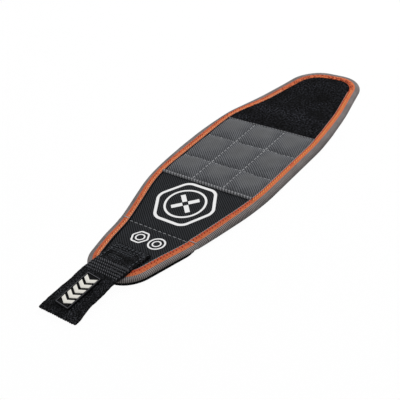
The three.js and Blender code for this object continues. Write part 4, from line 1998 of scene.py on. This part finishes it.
@dataclass
class Print:
    """Plain printed shapes on the black front: a large nut with a screw head in it, and a small nut and washer."""

    band: Band
    covers: Covers
    thickness: float = 0.16
    face_length: float = 1.5  # short enough to bend with the cloth
    badge: tuple[Ring, ...] = (Ring(26.2, 2.3, 6, 5.0), Ring(16.2, 1.7, 64))
    slot_size: Span = (8.4, 3.6)
    slot_reach: float = 6.4
    nut: tuple[Ring, ...] = (Ring(7.2, 1.2, 6, 1.4), Ring(3.6, 1.0, 28))
    nut_place: Span = (-11.5, 5.6)
    washer: tuple[Ring, ...] = (Ring(6.4, 1.2, 40), Ring(3.4, 1.0, 28))
    washer_place: Span = (-12.0, -9.6)

    def raise_print(self, bm: Shape, name: str, segment: Segment) -> None:
        """Cuts flat shapes into short lengths, lays them on the cloth and gives them thickness.

        Args:
            bm: The flat shapes.
            name: Name of the piece.
            segment: Length of the band that it belongs to.
        """
        stations = [vert.co.x for vert in bm.verts]
        for x in np.arange(min(stations), max(stations), self.face_length)[1:]:
            bmesh.ops.bisect_plane(bm, geom=bm.verts[:] + bm.edges[:] + bm.faces[:], plane_co=(x, 0, 0),
                                   plane_no=(1, 0, 0))
        upper = set(raise_faces(bm))
        x, y = np.array([vert.co.xy for vert in bm.verts]).T
        for vert, height in zip(bm.verts, self.covers.top(x, y, Cloth.NYLON)):
            vert.co.z = height + (self.thickness if vert in upper else -self.thickness)
        segment.carry(finish_piece(bm, name, PRINT))

    def build(self) -> None:
        """Prints the badge panel and the front panel."""
        front, badge = self.band.segments[:2]
        centre = ((badge.start + self.band.pad_front) / 2, 0.0)
        bm = new_shape()
        for ring in self.badge:
            ring.add(bm, centre)
        size = Matrix.Diagonal((*self.slot_size, 1, 1))
        for turn in (45, 135):
            place = Matrix.Translation((*centre, 0)) @ Matrix.Rotation(math.radians(turn), 4, "Z")
            for side in (-1, 1):
                arm = place @ Matrix.Translation((side * self.slot_reach, 0, 0)) @ size
                bmesh.ops.create_grid(bm, x_segments=1, y_segments=1, size=0.5, calc_uvs=True, matrix=arm)
        self.raise_print(bm, "badge_print", badge)

        bm = new_shape()
        for rings, (along, across) in ((self.nut, self.nut_place), (self.washer, self.washer_place)):
            for ring in rings:
                ring.add(bm, (self.band.seam + along, across))
        self.raise_print(bm, "front_print", front)


@dataclass(frozen=True)
class Lamp:
    """A soft square lamp, aimed at the middle of the band, in metres and watts."""

    name: str
    place: tuple[float, float, float]
    size: float
    power: float

    def build(self) -> None:
        """Hangs the lamp."""
        data = bpy.data.lights.new(self.name, "AREA")
        data.size, data.energy = self.size, self.power
        lamp = bpy.data.objects.new(self.name, data)
        lamp.location = self.place
        lamp.rotation_euler = Vector(self.place).to_track_quat("Z", "Y").to_euler()
        bpy.context.scene.collection.objects.link(lamp)


@dataclass
class Studio:
    """Floor, light and the camera at the photograph's angle. Angles are degrees, and the floor's sizes metres."""

    azimuth: float = -47.32
    elevation: float = 35.34
    roll: float = -9.364
    distance: float = 580.3
    target: tuple[float, float, float] = (-53.9, -2.42, 0.0)
    lens: float = 72.0
    sensor: float = 36.0
    clip: Span = (0.01, 20.0)
    floor_size: float = 6.0
    floor_drop: float = 0.0003
    floor_white: float = 0.97
    floor_clear: float = 0.97
    daylight: float = 0.45
    lamps: tuple[Lamp, ...] = (
        Lamp("key", (1.05, -0.1, 0.85), 0.6, 13.0), Lamp("fill", (-0.5, 0.7, 1.0), 0.9, 2.5))

    def camera(self) -> None:
        """Places the camera."""
        bearing, height = math.radians(self.azimuth), math.radians(self.elevation)
        right = Vector((math.cos(bearing), math.sin(bearing), 0))
        ahead = Vector((math.sin(bearing), -math.cos(bearing), 0))
        back = ahead * math.cos(height) + Vector((0, 0, math.sin(height)))
        axes = Matrix((right, back.cross(right), back)).transposed().to_4x4()
        data = bpy.data.cameras.new("camera")
        data.lens, data.sensor_width = self.lens, self.sensor
        data.clip_start, data.clip_end = self.clip
        camera = bpy.data.objects.new("camera", data)
        place = Matrix.Translation((Vector(self.target) + back * self.distance) * MM)
        camera.matrix_world = place @ axes @ Matrix.Rotation(math.radians(self.roll), 4, "Z")
        bpy.context.scene.collection.objects.link(camera)
        bpy.context.scene.camera = camera

    @staticmethod
    def show(tree: Tree, plain: Node, other: Node, share: float, *rays: str) -> None:
        """Mixes another shader into what the camera, reflections and other rays meet.

        Args:
            tree: Node tree of the material or world.
            plain: Its plain shader.
            other: The shader that is mixed in.
            share: How much of it is mixed in.
            rays: Kinds of ray that meet it besides the camera's and reflected ones.
        """
        path = add_node(tree, "ShaderNodeLightPath").outputs
        met = path["Is Camera Ray"]
        for ray in ("Is Glossy Ray", "Is Transmission Ray", *rays):
            met = add_node(tree, "ShaderNodeMath", {0: met, 1: path[ray]}, operation="MAXIMUM").outputs[0]
        part = add_node(tree, "ShaderNodeMath", {0: met, 1: share}, operation="MULTIPLY").outputs[0]
        mix = add_node(tree, "ShaderNodeMixShader", {0: part, 1: plain.outputs[0], 2: other.outputs[0]})
        output = next(node for node in tree.nodes if node.type.startswith("OUTPUT"))
        tree.links.new(mix.outputs[0], output.inputs["Surface"])

    def floor(self) -> None:
        """Lays a white floor that keeps the band's soft shadow and doesn't hide what hangs below it in use."""
        bm = bmesh.new()
        bmesh.ops.create_grid(bm, x_segments=1, y_segments=1, size=self.floor_size,
                              matrix=Matrix.Translation((0, 0, -self.floor_drop)))
        mesh = bpy.data.meshes.new("floor")
        bm.to_mesh(mesh)
        bm.free()
        material = bpy.data.materials.new("floor")
        material.use_nodes = True
        tree = material.node_tree
        plain = tree.nodes["Principled BSDF"]
        plain.inputs["Base Color"].default_value = (*[self.floor_white] * 3, 1.0)
        plain.inputs["Roughness"].default_value = 1.0
        clear = add_node(tree, "ShaderNodeBsdfTransparent")
        self.show(tree, plain, clear, self.floor_clear, "Is Shadow Ray")
        mesh.materials.append(material)
        floor = bpy.data.objects.new("floor", mesh)
        bpy.context.scene.collection.objects.link(floor)

    def world(self) -> None:
        """Surrounds the band with even light, which shows as white."""
        world = bpy.data.worlds.new("studio")
        world.use_nodes = True
        tree, white = world.node_tree, (1, 1, 1, 1)
        plain = tree.nodes["Background"]
        plain.inputs["Color"].default_value = white
        plain.inputs["Strength"].default_value = self.daylight
        self.show(tree, plain, add_node(tree, "ShaderNodeBackground", {"Color": white}), 1.0)
        bpy.context.scene.world = world

    def build(self) -> None:
        """Sets the studio up."""
        bpy.context.scene.view_settings.view_transform = "Standard"
        self.camera()
        self.floor()
        self.world()
        for lamp in self.lamps:
            lamp.build()


def dress_magnets() -> None:
    """Gives the magnets in their pockets a nickel finish."""
    for name, node in frame["nodes"].items():
        if "_magnet_" in name:
            node.data.materials.clear()
            node.data.materials.append(material_of(NICKEL))


def write_sizes() -> None:
    """Brings the scene's placements up to date."""
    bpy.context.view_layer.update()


def main() -> None:
    """Builds the studio and the wristband's pieces in order."""
    logging.basicConfig(level=logging.INFO, format="%(message)s")
    band = Band()
    covers, edging, tab = Covers(band), Edging(band), PullTab(band)
    parts = (
        Studio(), covers, Fuzz(covers), *covers.rolls(), edging, WristSide(band), tab, Label(tab),
        Stitching(band, covers, edging, tab), Print(band, covers),
    )
    for part in parts:
        log.info("building %s", type(part).__name__)
        part.build()
    dress_magnets()
    write_sizes()


if __name__ == "__main__":
    main()
